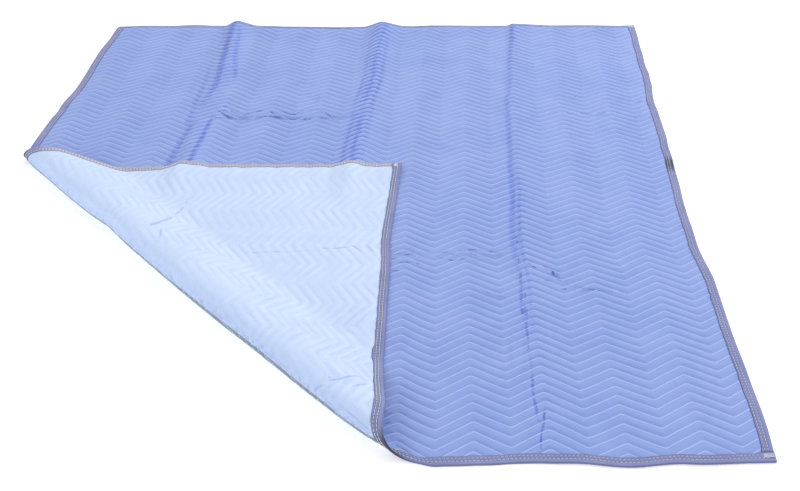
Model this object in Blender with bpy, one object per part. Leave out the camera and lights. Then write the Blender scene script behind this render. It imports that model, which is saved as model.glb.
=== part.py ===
"""Quilted moving blanket lying on a floor, its near left corner turned over onto it.

The cloth is drawn flat first, in its own frame: s runs to the right and t away from the viewer, both
from the near left corner, and h is the height above the side that lies on the floor. Each piece is
closed in that frame, cut along every line where the cloth bends, and then folded point by point.
"""

import math
from collections import namedtuple

import bmesh
import bpy
import numpy as np
from mathutils import Vector

Stray = namedtuple("Stray", "place shift")
Bend = namedtuple("Bend", "length turn steps")
Height = namedtuple("Height", "t lift")
Crease = namedtuple("Crease", "s_near s_far left_foot right_foot heights")
Puff = namedtuple("Puff", "s_from s_to t_middle half_width extra")

# The whole cloth, flat
WIDTH = 1.83
LENGTH = 2.03
ROOT_2 = math.sqrt(2)

# Quilting: zigzag rows of stitches with a raised crown between them
ROW_PITCH = 0.026
WAVE_LENGTH = 0.1473
WAVE_DEPTH = 0.0485
FIRST_POINT = 0.1504
SIDE_DRIFT = 0.0206
ROW_START = 0.010

# Heights of the layers above the floor side
BACK_UNDER = 0.0
BACK_TOP = 0.0021
FACE_UNDER = 0.0024
FACE_STITCH = 0.0038
FACE_CROWN = 0.0056
FACE_PRESSED = 0.0042
BACK_CROWN = -0.0014
MIDDLE = 0.00225

# Binding: a strip folded over the edge, with the thinned edge of the panel inside it
BINDING_WIDTH = 0.025
BINDING_CLOTH = 0.001
BINDING_TOP = 0.0045
PIECE_GAP = 0.0003
EDGE_UNDER = BINDING_CLOTH + PIECE_GAP
EDGE_TOP = BINDING_TOP - BINDING_CLOTH - PIECE_GAP
EDGE_INSET = 0.0025
THIN_WIDTH = 0.0256
FULL_WIDTH = 0.034

# The turned-over corner: FLAP_SIDE is where its point and its two edges come to lie
FLAP_SIDE = 1.061
LAYER_RISE = 0.0047
ROLL_RADIUS = 0.031
CROWN_LENGTH = 0.044
SHOULDER_RADIUS = 0.050
SETTLE_RADIUS = 0.045
FALL_ANGLE = math.radians(40)
FALL_DROP = (2 * ROLL_RADIUS - LAYER_RISE
             - (SHOULDER_RADIUS + SETTLE_RADIUS) * (1 - math.cos(FALL_ANGLE)))
SECTION = (
    Bend(length=math.pi * ROLL_RADIUS, turn=math.pi, steps=6),
    Bend(length=CROWN_LENGTH, turn=0.0, steps=1),
    Bend(length=SHOULDER_RADIUS * FALL_ANGLE, turn=FALL_ANGLE, steps=2),
    Bend(length=FALL_DROP / math.sin(FALL_ANGLE), turn=0.0, steps=1),
    Bend(length=SETTLE_RADIUS * FALL_ANGLE, turn=-FALL_ANGLE, steps=2),
)

# The quilting is pressed flat under the flap and this far round it
PRESSED_MARGIN = 0.020
SNAP = 1e-5

# How far each edge strays from the plain rectangle
LEFT_EDGE = (
    Stray(place=0.000, shift=0.000), Stray(place=0.250, shift=-0.004),
    Stray(place=0.600, shift=-0.003), Stray(place=1.000, shift=0.000),
    Stray(place=1.350, shift=0.000), Stray(place=1.444, shift=-0.003),
    Stray(place=1.590, shift=0.009), Stray(place=1.784, shift=-0.001),
    Stray(place=2.030, shift=0.007),
)
RIGHT_EDGE = (
    Stray(place=0.000, shift=0.006), Stray(place=0.070, shift=0.006),
    Stray(place=0.350, shift=-0.006), Stray(place=0.586, shift=0.000),
    Stray(place=0.810, shift=-0.018), Stray(place=1.052, shift=-0.011),
    Stray(place=1.290, shift=-0.006), Stray(place=1.454, shift=-0.020),
    Stray(place=1.874, shift=-0.008), Stray(place=2.030, shift=0.000),
)
NEAR_EDGE = (
    Stray(place=0.000, shift=-0.005), Stray(place=0.348, shift=0.004),
    Stray(place=0.424, shift=-0.003), Stray(place=0.730, shift=-0.011),
    Stray(place=0.950, shift=-0.015), Stray(place=1.120, shift=0.000),
    Stray(place=1.200, shift=-0.003), Stray(place=1.360, shift=0.002),
    Stray(place=1.516, shift=-0.008), Stray(place=1.594, shift=-0.006),
    Stray(place=1.652, shift=0.004), Stray(place=1.830, shift=0.004),
)
FAR_EDGE = (
    Stray(place=0.000, shift=0.000), Stray(place=0.280, shift=0.011),
    Stray(place=0.490, shift=0.004), Stray(place=0.570, shift=-0.005),
    Stray(place=0.750, shift=-0.005), Stray(place=0.970, shift=0.004),
    Stray(place=1.400, shift=0.008), Stray(place=1.510, shift=0.005),
    Stray(place=1.830, shift=0.005),
)

# Packing creases that lift the cloth in a ridge, each with its height along the length
CREASES = (
    Crease(s_near=0.430, s_far=0.424, left_foot=0.034, right_foot=0.060, heights=(
        Height(t=0.95, lift=0.0), Height(t=1.02, lift=0.010), Height(t=1.18, lift=0.010),
        Height(t=1.36, lift=0.0), Height(t=1.70, lift=0.0), Height(t=1.95, lift=0.019),
        Height(t=2.03, lift=0.019))),
    Crease(s_near=0.905, s_far=0.936, left_foot=0.050, right_foot=0.060, heights=(
        Height(t=0.85, lift=0.0), Height(t=1.02, lift=0.010), Height(t=1.18, lift=0.010),
        Height(t=1.36, lift=0.0), Height(t=1.70, lift=0.0), Height(t=1.95, lift=0.018),
        Height(t=2.03, lift=0.018))),
    Crease(s_near=1.386, s_far=1.398, left_foot=0.014, right_foot=0.150, heights=(
        Height(t=1.70, lift=0.0), Height(t=1.95, lift=0.008), Height(t=2.03, lift=0.008))),
)

# Where along the length some ridge stands: across the flap's far edge, and up to the cloth's far edge
RIDGE_STRETCHES = ((0.85, 1.36), (1.70, 1.1 * LENGTH))

# Rows that stand higher along the two creases that run across
PUFFS = (
    Puff(s_from=0.50, s_to=0.90, t_middle=1.385, half_width=0.045, extra=0.003),
    Puff(s_from=1.08, s_to=1.46, t_middle=0.665, half_width=0.040, extra=0.002),
    Puff(s_from=1.46, s_to=1.58, t_middle=0.540, half_width=0.035, extra=0.002),
)

FACE_BLUE = (0.33, 0.41, 0.80)
BACK_BLUE = (0.62, 0.75, 0.96)
BINDING_GREY = (0.26, 0.26, 0.42)


def walk_section(bends):
    """Follow the cloth round the turned corner: run, outward and upward travel, and heading."""
    run, out, up, heading = 0.0, 0.0, 0.0, 0.0
    stations = [(run, out, up, heading)]
    for bend in bends:
        step = bend.length / bend.steps
        turn = bend.turn / bend.steps
        for _ in range(bend.steps):
            chord = step if turn == 0 else step * math.sin(turn / 2) / (turn / 2)
            out += chord * math.cos(heading + turn / 2)
            up += chord * math.sin(heading + turn / 2)
            heading += turn
            run += step
            stations.append((run, out, up, heading))
    return np.array(stations)


STATIONS = walk_section(SECTION)
ROLL_LENGTH = STATIONS[-1, 0]
ROLL_START = (ROOT_2 * FLAP_SIDE + ROLL_LENGTH + STATIONS[-1, 1]) / 2
BEYOND = 3.0
RUNS = np.concatenate(([-BEYOND], STATIONS[:, 0], [ROLL_LENGTH + BEYOND]))
OUTS = np.concatenate(([-BEYOND], STATIONS[:, 1], [STATIONS[-1, 1] - BEYOND]))
UPS = np.concatenate(([0.0], STATIONS[:, 2], [STATIONS[-1, 2]]))
HEADINGS = np.concatenate(([0.0], STATIONS[:, 3], [math.pi]))


def crease_lines(crease):
    """The two feet and the ridge of a crease, each as a line from the near to the far edge."""
    for aside in (-crease.left_foot, 0.0, crease.right_foot):
        yield (crease.s_near + aside, 0.0), (crease.s_far + aside, LENGTH)


def crease_lift(x, y):
    """How far the creases raise the cloth off the floor at a place on it."""
    lift = 0.0
    for crease in CREASES:
        ridge = np.interp(y, (0.0, LENGTH), (crease.s_near, crease.s_far))
        share = np.interp(x - ridge, (-crease.left_foot, 0.0, crease.right_foot), (0.0, 1.0, 0.0))
        places = [height.t for height in crease.heights]
        lifts = [height.lift for height in crease.heights]
        lift = max(lift, share * np.interp(y, places, lifts))
    return lift


def folded(point):
    """Carry a point of the flat cloth to where it lies on the floor, the roll or the flap."""
    reach = (point.x + point.y) / ROOT_2
    along = (point.x - point.y) / ROOT_2
    run = ROLL_START - reach
    above = point.z - MIDDLE
    out = np.interp(run, RUNS, OUTS) - above * np.interp(run, RUNS, np.sin(HEADINGS))
    up = np.interp(run, RUNS, UPS) + above * np.interp(run, RUNS, np.cos(HEADINGS))
    reach = ROLL_START - out
    x = (reach + along) / ROOT_2
    y = (reach - along) / ROOT_2
    lies_flat = run <= 0 or run >= ROLL_LENGTH
    lift = crease_lift(x, y) if lies_flat else 0.0
    return Vector((x, y, MIDDLE + up + lift))


def strayed(point):
    """Move a point of the plain rectangle to the cloth's uneven outline."""
    def stray(edge, place):
        return np.interp(place, [row.place for row in edge], [row.shift for row in edge])

    across = point.x / WIDTH
    deep = point.y / LENGTH
    shift_x = stray(LEFT_EDGE, point.y) * (1 - across) + stray(RIGHT_EDGE, point.y) * across
    shift_y = stray(NEAR_EDGE, point.x) * (1 - deep) + stray(FAR_EDGE, point.x) * deep
    return point + Vector((shift_x, shift_y, 0.0))


def cut(mesh, start, end, where=None, clear=False):
    """Cut a mesh along an upright plane through two places, in the faces that where() picks."""
    run = Vector((end[0] - start[0], end[1] - start[1], 0.0))
    aside = Vector((run.y, -run.x, 0.0)).normalized()
    faces = [face for face in mesh.faces if where is None or where(face.calc_center_median())]
    edges = {edge for face in faces for edge in face.edges}
    verts = {vert for face in faces for vert in face.verts}
    bmesh.ops.bisect_plane(
        mesh, geom=list(verts) + list(edges) + faces, dist=1e-6,
        plane_co=(start[0], start[1], 0.0), plane_no=aside, clear_outer=clear)


def on_ridges(place):
    """Whether a place is on the floor where some crease stands up."""
    raised = any(place.y > first and place.y < last for first, last in RIDGE_STRETCHES)
    return raised and (place.x + place.y) / ROOT_2 > ROLL_START


def on_flap(place):
    return (place.x + place.y) / ROOT_2 < ROLL_START - ROLL_LENGTH


def cut_bends(mesh):
    """Cut a piece along each line where the folded cloth changes direction."""
    for run in STATIONS[:, 0]:
        side = (ROLL_START - run) * ROOT_2
        cut(mesh, (0.0, side), (side, 0.0))
    for crease in CREASES:
        for near, far in crease_lines(crease):
            cut(mesh, near, far, where=on_ridges)
            if near[0] < FLAP_SIDE:
                near_on_flap = (FLAP_SIDE - near[1], FLAP_SIDE - near[0])
                far_on_flap = (FLAP_SIDE - far[1], FLAP_SIDE - far[0])
                cut(mesh, near_on_flap, far_on_flap, where=on_flap)


def quilt_rows(height_of):
    """Zigzag rows over the whole cloth: lines of stitches and of crowns by turns."""
    mesh = bmesh.new()
    half_wave = WAVE_LENGTH / 2
    columns = range(-4, math.ceil(WIDTH / half_wave) + 2)
    lines = range(-4, math.ceil(LENGTH / (ROW_PITCH / 2)) + 4)
    grid = []
    for line in lines:
        points = []
        for column in columns:
            side = 1 if column % 2 else -1
            t = ROW_START + line * ROW_PITCH / 2 + side * WAVE_DEPTH / 2
            s = FIRST_POINT + column * half_wave - SIDE_DRIFT * t
            points.append(mesh.verts.new((s, t, height_of(s, t, line % 2 == 1))))
        grid.append(points)
    for lower, upper in zip(grid, grid[1:]):
        for first, second, third, fourth in zip(lower, lower[1:], upper[1:], upper):
            mesh.faces.new((first, second, third, fourth))
    return mesh


def rim_distance(point):
    return min(point.x, WIDTH - point.x, point.y, LENGTH - point.y)


def frame_lines(inset):
    """The four sides of a rectangle that lies inset from the cloth's edges, each facing out."""
    left, right, near, far = inset, WIDTH - inset, inset, LENGTH - inset
    return (((left, near), (right, near)), ((right, near), (right, far)),
            ((right, far), (left, far)), ((left, far), (left, near)))


def quilted_layer(height_of, edge_height, inner_height, plain_where, pressed=False):
    """One layer of the panel: quilted outside, plain inside, thin where the binding holds it."""
    mesh = quilt_rows(height_of)
    for start, end in frame_lines(EDGE_INSET):
        cut(mesh, start, end, clear=True)
    for start, end in frame_lines(THIN_WIDTH):
        cut(mesh, start, end)
    if pressed:
        press_under_flap(mesh)
    for start, end in frame_lines(FULL_WIDTH):
        cut(mesh, start, end, where=plain_where)
    for vert in mesh.verts:
        if rim_distance(vert.co) < THIN_WIDTH + SNAP:
            vert.co.z = edge_height
    for vert in mesh.verts:
        vert.co = strayed(vert.co)
    cut_bends(mesh)
    triangulate_level(mesh)
    return closed_layer(mesh, inner_height)


def triangulate_level(mesh):
    """Split the faces into triangles as if the cloth were level, so that both layers split alike."""
    heights = [vert.co.z for vert in mesh.verts]
    for vert in mesh.verts:
        vert.co.z = 0.0
    bmesh.ops.triangulate(mesh, faces=mesh.faces[:], quad_method="FIXED")
    for vert, height in zip(mesh.verts, heights):
        vert.co.z = height


def is_pressed(place):
    side = FLAP_SIDE + PRESSED_MARGIN
    return place.x < side and place.y < side


def is_anywhere(_place):
    return True


def press_under_flap(mesh):
    """Flatten the quilting that the flap lies on, up to a clean line just outside the flap."""
    side = FLAP_SIDE + PRESSED_MARGIN
    reach = side + WAVE_LENGTH
    cut(mesh, (side, 0.0), (side, LENGTH), where=lambda place: place.y < reach)
    cut(mesh, (0.0, side), (WIDTH, side), where=lambda place: place.x < reach)
    side += SNAP
    for vert in mesh.verts:
        if vert.co.x < side and vert.co.y < side:
            vert.co.z = FACE_PRESSED


def closed_layer(mesh, inner_height):
    """Close an open upper surface with a plain one at another height and walls round the rim."""
    mesh.verts.index_update()
    count = len(mesh.verts)
    points = [vert.co.copy() for vert in mesh.verts]
    points += [Vector((point.x, point.y, inner_height)) for point in points]
    faces = [[vert.index for vert in face.verts] for face in mesh.faces]
    faces += [[index + count for index in reversed(face)] for face in faces]
    for edge in mesh.edges:
        if edge.is_boundary:
            loop = edge.link_loops[0]
            start = loop.vert.index
            end = loop.link_loop_next.vert.index
            faces.append([end, start, start + count, end + count])
    mesh.free()
    if inner_height > points[0].z:
        faces = [face[::-1] for face in faces]
    return points, faces


def binding_strip(first, last, edge, inward, across):
    """One strip of binding, flat: a C-shaped section run from first to last along an edge.

    The edge is a place on t where the strip runs across, or on s, and inward is the way to the panel.
    """
    inner_floor = BINDING_CLOTH
    inner_top = BINDING_TOP - BINDING_CLOTH
    section = ((0.0, 0.0), (BINDING_WIDTH, 0.0), (BINDING_WIDTH, inner_floor), (BINDING_CLOTH, inner_floor),
               (BINDING_CLOTH, inner_top), (BINDING_WIDTH, inner_top), (BINDING_WIDTH, BINDING_TOP),
               (0.0, BINDING_TOP))
    mesh = bmesh.new()
    ends = []
    for place in (first, last):
        ring = []
        for inset, height in section:
            side = edge + inward * inset
            spot = (place, side, height) if across else (side, place, height)
            ring.append(mesh.verts.new(spot))
        ends.append(ring)
    for index in range(len(section)):
        following = (index + 1) % len(section)
        mesh.faces.new((ends[0][index], ends[0][following], ends[1][following], ends[1][index]))
    mesh.faces.new(ends[0])
    mesh.faces.new(ends[1])
    for row in LEFT_EDGE + RIGHT_EDGE:
        cut(mesh, (0.0, row.place), (WIDTH, row.place))
    for row in NEAR_EDGE + FAR_EDGE:
        cut(mesh, (row.place, 0.0), (row.place, LENGTH))
    for vert in mesh.verts:
        vert.co = strayed(vert.co)
    cut_bends(mesh)
    bmesh.ops.recalc_face_normals(mesh, faces=mesh.faces[:])
    bmesh.ops.triangulate(mesh, faces=mesh.faces[:], quad_method="FIXED")
    mesh.verts.index_update()
    points = [vert.co.copy() for vert in mesh.verts]
    faces = [[vert.index for vert in face.verts] for face in mesh.faces]
    mesh.free()
    return points, faces


def face_height(s, t, crown):
    """Upper side of the blue face: stitched down, or crowned and higher along the crossing creases."""
    if not crown:
        return FACE_STITCH
    extra = 0.0
    for puff in PUFFS:
        if puff.s_from < s < puff.s_to:
            extra = max(extra, puff.extra * (1 - abs(t - puff.t_middle) / puff.half_width))
    return FACE_CROWN + extra


def back_height(s, t, crown):
    """Outer side of the backing: plain under the cloth and round the roll, softly crowned on the flap."""
    turned = ROLL_START - (s + t) / ROOT_2 > ROLL_LENGTH
    return BACK_CROWN if crown and turned else BACK_UNDER


def finish(name, colour, roughness):
    material = bpy.data.materials.new(name)
    material.use_nodes = True
    shader = material.node_tree.nodes["Principled BSDF"]
    shader.inputs["Base Color"].default_value = (*colour, 1.0)
    shader.inputs["Roughness"].default_value = roughness
    shader.inputs["Metallic"].default_value = 0.0
    return material


def main():
    for leftover in list(bpy.data.objects):
        bpy.data.objects.remove(leftover, do_unlink=True)

    blue = finish("blue_face", FACE_BLUE, 0.8)
    pale = finish("pale_backing", BACK_BLUE, 0.85)
    grey = finish("grey_binding", BINDING_GREY, 0.75)

    side_start = BINDING_WIDTH + PIECE_GAP
    side_end = LENGTH - side_start
    pieces = {
        "quilted_face": (quilted_layer(face_height, EDGE_TOP, FACE_UNDER, is_pressed, pressed=True), blue),
        "quilted_back": (quilted_layer(back_height, EDGE_UNDER, BACK_TOP, is_anywhere), pale),
        "binding_near": (binding_strip(0.0, WIDTH, 0.0, 1, across=True), grey),
        "binding_far": (binding_strip(0.0, WIDTH, LENGTH, -1, across=True), grey),
        "binding_left": (binding_strip(side_start, side_end, 0.0, 1, across=False), grey),
        "binding_right": (binding_strip(side_start, side_end, WIDTH, -1, across=False), grey),
    }
    shapes = {name: [folded(point) for point in points] for name, ((points, _), _) in pieces.items()}
    everything = np.array([point for shape in shapes.values() for point in shape])
    low, high = everything.min(axis=0), everything.max(axis=0)
    origin = Vector(((low[0] + high[0]) / 2, (low[1] + high[1]) / 2, low[2]))
    for name, ((_, faces), material) in pieces.items():
        data = bpy.data.meshes.new(name)
        data.from_pydata([point - origin for point in shapes[name]], [], faces)
        data.materials.append(material)
        bpy.context.scene.collection.objects.link(bpy.data.objects.new(name, data))


main()
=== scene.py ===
"""Looks of the quilted moving blanket: its two layers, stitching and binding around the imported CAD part.

Every piece is drawn flat first, in the cloth's own frame (s to the right and t away, both from the near
left corner, h above the floor side), and is then folded by the same rules as the CAD solids.
"""

import math
from collections import namedtuple

import bpy
import numpy as np
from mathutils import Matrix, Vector

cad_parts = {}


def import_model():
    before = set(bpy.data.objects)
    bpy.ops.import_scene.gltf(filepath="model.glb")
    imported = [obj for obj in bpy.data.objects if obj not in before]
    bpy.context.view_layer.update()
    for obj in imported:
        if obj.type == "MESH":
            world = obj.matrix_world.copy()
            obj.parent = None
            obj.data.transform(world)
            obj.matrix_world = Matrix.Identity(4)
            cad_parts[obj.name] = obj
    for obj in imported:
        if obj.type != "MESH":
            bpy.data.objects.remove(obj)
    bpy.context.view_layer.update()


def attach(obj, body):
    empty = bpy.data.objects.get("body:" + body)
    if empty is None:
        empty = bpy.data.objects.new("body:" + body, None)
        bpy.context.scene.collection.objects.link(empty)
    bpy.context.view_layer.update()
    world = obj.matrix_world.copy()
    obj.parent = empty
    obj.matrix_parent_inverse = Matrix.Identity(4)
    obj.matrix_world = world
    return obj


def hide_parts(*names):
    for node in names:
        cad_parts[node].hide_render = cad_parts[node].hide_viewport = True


Stray = namedtuple("Stray", "place shift")
Bend = namedtuple("Bend", "length turn steps")
Mark = namedtuple("Mark", "s t strength")
Ridge = namedtuple("Ridge", "left_foot right_foot soften feather path")
Trough = namedtuple("Trough", "half_width depth dashed path")
Lip = namedtuple("Lip", "rise tail path")
Stroke = namedtuple("Stroke", "start_s start_t end_s end_t width strength")

# The whole cloth, flat
WIDTH = 1.83
LENGTH = 2.03
ROOT_2 = math.sqrt(2)

# Quilting: zigzag rows of stitches with a raised crown between them
ROW_PITCH = 0.026
WAVE_LENGTH = 0.1473
WAVE_DEPTH = 0.0485
FIRST_POINT = 0.1524
SIDE_DRIFT = 0.0100
ROW_START = 0.010
TIP_ROUNDING = 0.022
MIDDLE_ROOT = math.sqrt(0.25 ** 2 + TIP_ROUNDING ** 2)

# Heights above the floor side
BACK_TOP = 0.0021
FACE_UNDER = 0.0024
FACE_STITCH = 0.0035
FACE_PUFF = 0.0019
FACE_PRESSED = 0.0042
BACK_PUFF = 0.0011
UNDER_GROOVE = 0.0009
MIDDLE = 0.00225

# Binding: a strip folded over the edge, with the thinned edge of the panel inside it
BINDING_WIDTH = 0.025
BINDING_CLOTH = 0.001
BINDING_TOP = 0.0045
PIECE_GAP = 0.0003
EDGE_UNDER = BINDING_CLOTH + PIECE_GAP
EDGE_TOP = BINDING_TOP - BINDING_CLOTH - PIECE_GAP
EDGE_INSET = 0.0025
THIN_WIDTH = 0.0256
FULL_WIDTH = 0.036
STITCH_ROWS = (0.0107, 0.0174)

# The turned-over corner
FLAP_SIDE = 1.061
LAYER_RISE = 0.0047
ROLL_RADIUS = 0.031
CROWN_LENGTH = 0.016
SHOULDER_RADIUS = 0.060
SETTLE_RADIUS = 0.060
FALL_ANGLE = math.radians(27)
FALL_DROP = (2 * ROLL_RADIUS - LAYER_RISE
             - (SHOULDER_RADIUS + SETTLE_RADIUS) * (1 - math.cos(FALL_ANGLE)))
SECTION = (
    Bend(length=math.pi * ROLL_RADIUS, turn=math.pi, steps=48),
    Bend(length=CROWN_LENGTH, turn=0.0, steps=2),
    Bend(length=SHOULDER_RADIUS * FALL_ANGLE, turn=FALL_ANGLE, steps=16),
    Bend(length=FALL_DROP / math.sin(FALL_ANGLE), turn=0.0, steps=2),
    Bend(length=SETTLE_RADIUS * FALL_ANGLE, turn=-FALL_ANGLE, steps=16),
)
PRESSED_MARGIN = 0.016
FLAP_REACH_AWAY = 0.016
FLAP_CORNER_RISE = 0.005
FLAP_RIM_RISE = 0.0045
FAR_RIM_RISE = 0.0065

# The CAD model's origin in the flat frame
ORIGIN = (0.9165, 1.0165, 0.0)

# How far each edge strays from the plain rectangle
LEFT_EDGE = (
    Stray(place=0.000, shift=0.000), Stray(place=0.250, shift=-0.004), Stray(place=0.600, shift=-0.003),
    Stray(place=1.000, shift=-0.002), Stray(place=1.180, shift=-0.005), Stray(place=1.284, shift=-0.005),
    Stray(place=1.358, shift=-0.004), Stray(place=1.396, shift=0.001), Stray(place=1.435, shift=-0.003),
    Stray(place=1.474, shift=-0.001), Stray(place=1.514, shift=0.005), Stray(place=1.556, shift=0.007),
    Stray(place=1.641, shift=0.005), Stray(place=1.730, shift=0.000), Stray(place=1.823, shift=-0.002),
    Stray(place=1.871, shift=0.000), Stray(place=1.921, shift=0.003), Stray(place=2.030, shift=0.008),
)
RIGHT_EDGE = (
    Stray(place=0.000, shift=0.007), Stray(place=0.086, shift=0.011), Stray(place=0.141, shift=0.010),
    Stray(place=0.198, shift=0.007), Stray(place=0.257, shift=0.006), Stray(place=0.320, shift=0.003),
    Stray(place=0.352, shift=0.002), Stray(place=0.565, shift=0.001), Stray(place=0.604, shift=-0.004),
    Stray(place=0.644, shift=-0.009), Stray(place=0.685, shift=-0.013), Stray(place=0.770, shift=-0.012),
    Stray(place=0.815, shift=-0.014), Stray(place=0.908, shift=-0.013), Stray(place=0.957, shift=-0.010),
    Stray(place=1.059, shift=-0.009), Stray(place=1.113, shift=-0.006), Stray(place=1.179, shift=-0.007),
    Stray(place=1.214, shift=-0.004), Stray(place=1.284, shift=-0.004), Stray(place=1.396, shift=-0.005),
    Stray(place=1.435, shift=-0.008), Stray(place=1.474, shift=-0.005), Stray(place=1.514, shift=-0.002),
    Stray(place=1.556, shift=0.004), Stray(place=1.598, shift=0.003), Stray(place=1.641, shift=0.007),
    Stray(place=1.685, shift=0.003), Stray(place=1.730, shift=0.003), Stray(place=1.776, shift=0.006),
    Stray(place=1.871, shift=0.006), Stray(place=1.921, shift=0.009), Stray(place=1.971, shift=0.006),
    Stray(place=2.030, shift=0.009),
)
NEAR_EDGE = (
    Stray(place=0.000, shift=-0.005), Stray(place=0.348, shift=0.004), Stray(place=0.424, shift=-0.003),
    Stray(place=0.730, shift=-0.011), Stray(place=0.950, shift=-0.015), Stray(place=1.090, shift=-0.004),
    Stray(place=1.120, shift=-0.011), Stray(place=1.150, shift=-0.012), Stray(place=1.175, shift=-0.008),
    Stray(place=1.200, shift=-0.006),
    Stray(place=1.237, shift=-0.006), Stray(place=1.256, shift=-0.004), Stray(place=1.294, shift=-0.004),
    Stray(place=1.313, shift=-0.001), Stray(place=1.351, shift=0.001), Stray(place=1.389, shift=0.001),
    Stray(place=1.407, shift=-0.001), Stray(place=1.464, shift=-0.001), Stray(place=1.483, shift=-0.004),
    Stray(place=1.502, shift=-0.006), Stray(place=1.520, shift=-0.009), Stray(place=1.558, shift=-0.011),
    Stray(place=1.577, shift=-0.009), Stray(place=1.596, shift=-0.006), Stray(place=1.615, shift=-0.004),
    Stray(place=1.644, shift=-0.001), Stray(place=1.680, shift=-0.004), Stray(place=1.715, shift=-0.003),
    Stray(place=1.760, shift=0.000), Stray(place=1.830, shift=0.002),
)
FAR_EDGE = (
    Stray(place=0.000, shift=-0.002), Stray(place=0.027, shift=-0.002), Stray(place=0.068, shift=0.006),
    Stray(place=0.196, shift=0.008), Stray(place=0.237, shift=0.015), Stray(place=0.280, shift=0.015),
    Stray(place=0.324, shift=0.008), Stray(place=0.496, shift=0.008), Stray(place=0.539, shift=0.006),
    Stray(place=0.583, shift=-0.003), Stray(place=0.712, shift=-0.003), Stray(place=0.755, shift=-0.009),
    Stray(place=0.798, shift=-0.009), Stray(place=0.840, shift=-0.003), Stray(place=0.882, shift=-0.002),
    Stray(place=1.010, shift=0.007), Stray(place=1.053, shift=-0.001), Stray(place=1.096, shift=0.007),
    Stray(place=1.396, shift=0.008), Stray(place=1.482, shift=0.011), Stray(place=1.696, shift=0.011),
    Stray(place=1.739, shift=0.009), Stray(place=1.782, shift=0.009), Stray(place=1.830, shift=0.014),
)

# The same for the roll's outer side, from its far end on the left to its near end
ROLL_LINE = (
    Stray(place=-1.100, shift=0.012), Stray(place=-0.760, shift=0.011),
    Stray(place=-0.700, shift=0.004), Stray(place=-0.600, shift=0.003),
    Stray(place=-0.480, shift=0.001), Stray(place=-0.385, shift=0.002),
    Stray(place=-0.294, shift=0.008), Stray(place=-0.200, shift=0.002),
    Stray(place=-0.110, shift=0.000), Stray(place=0.050, shift=-0.003),
    Stray(place=0.200, shift=-0.003), Stray(place=0.340, shift=0.000),
    Stray(place=0.530, shift=0.002), Stray(place=0.650, shift=0.006),
    Stray(place=0.710, shift=0.011), Stray(place=0.760, shift=0.018),
    Stray(place=1.100, shift=0.024),
)

# Packing creases that run away from the viewer and lift the cloth; strength is the lift in metres, and feather how
# strongly the rows beside each crease get painted shade
RIDGES = (
    Ridge(left_foot=0.034, right_foot=0.060, soften=0.006, feather=0.45, path=(
        Mark(0.455, 0.92, 0.0), Mark(0.460, 1.02, 0.014), Mark(0.463, 1.09, 0.014),
        Mark(0.458, 1.18, 0.011), Mark(0.452, 1.34, 0.004), Mark(0.458, 1.44, 0.004), Mark(0.455, 1.60, 0.007),
        Mark(0.443, 1.80, 0.012), Mark(0.426, 1.95, 0.019), Mark(0.424, 2.06, 0.019))),
    Ridge(left_foot=0.050, right_foot=0.060, soften=0.008, feather=1.00, path=(
        Mark(0.922, 0.85, 0.0), Mark(0.926, 1.02, 0.014), Mark(0.930, 1.10, 0.014), Mark(0.930, 1.20, 0.010),
        Mark(0.930, 1.38, 0.003), Mark(0.935, 1.54, 0.006), Mark(0.937, 1.75, 0.010),
        Mark(0.940, 1.95, 0.018), Mark(0.941, 2.06, 0.018))),
    Ridge(left_foot=0.015, right_foot=0.130, soften=0.003, feather=0.30, path=(
        Mark(1.390, 0.30, 0.0), Mark(1.387, 0.55, 0.0015), Mark(1.384, 0.74, 0.003),
        Mark(1.388, 0.92, 0.004), Mark(1.382, 1.08, 0.0045), Mark(1.380, 1.30, 0.004),
        Mark(1.383, 1.54, 0.0045), Mark(1.392, 1.78, 0.006), Mark(1.402, 1.95, 0.008),
        Mark(1.405, 2.06, 0.008))),
)
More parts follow.
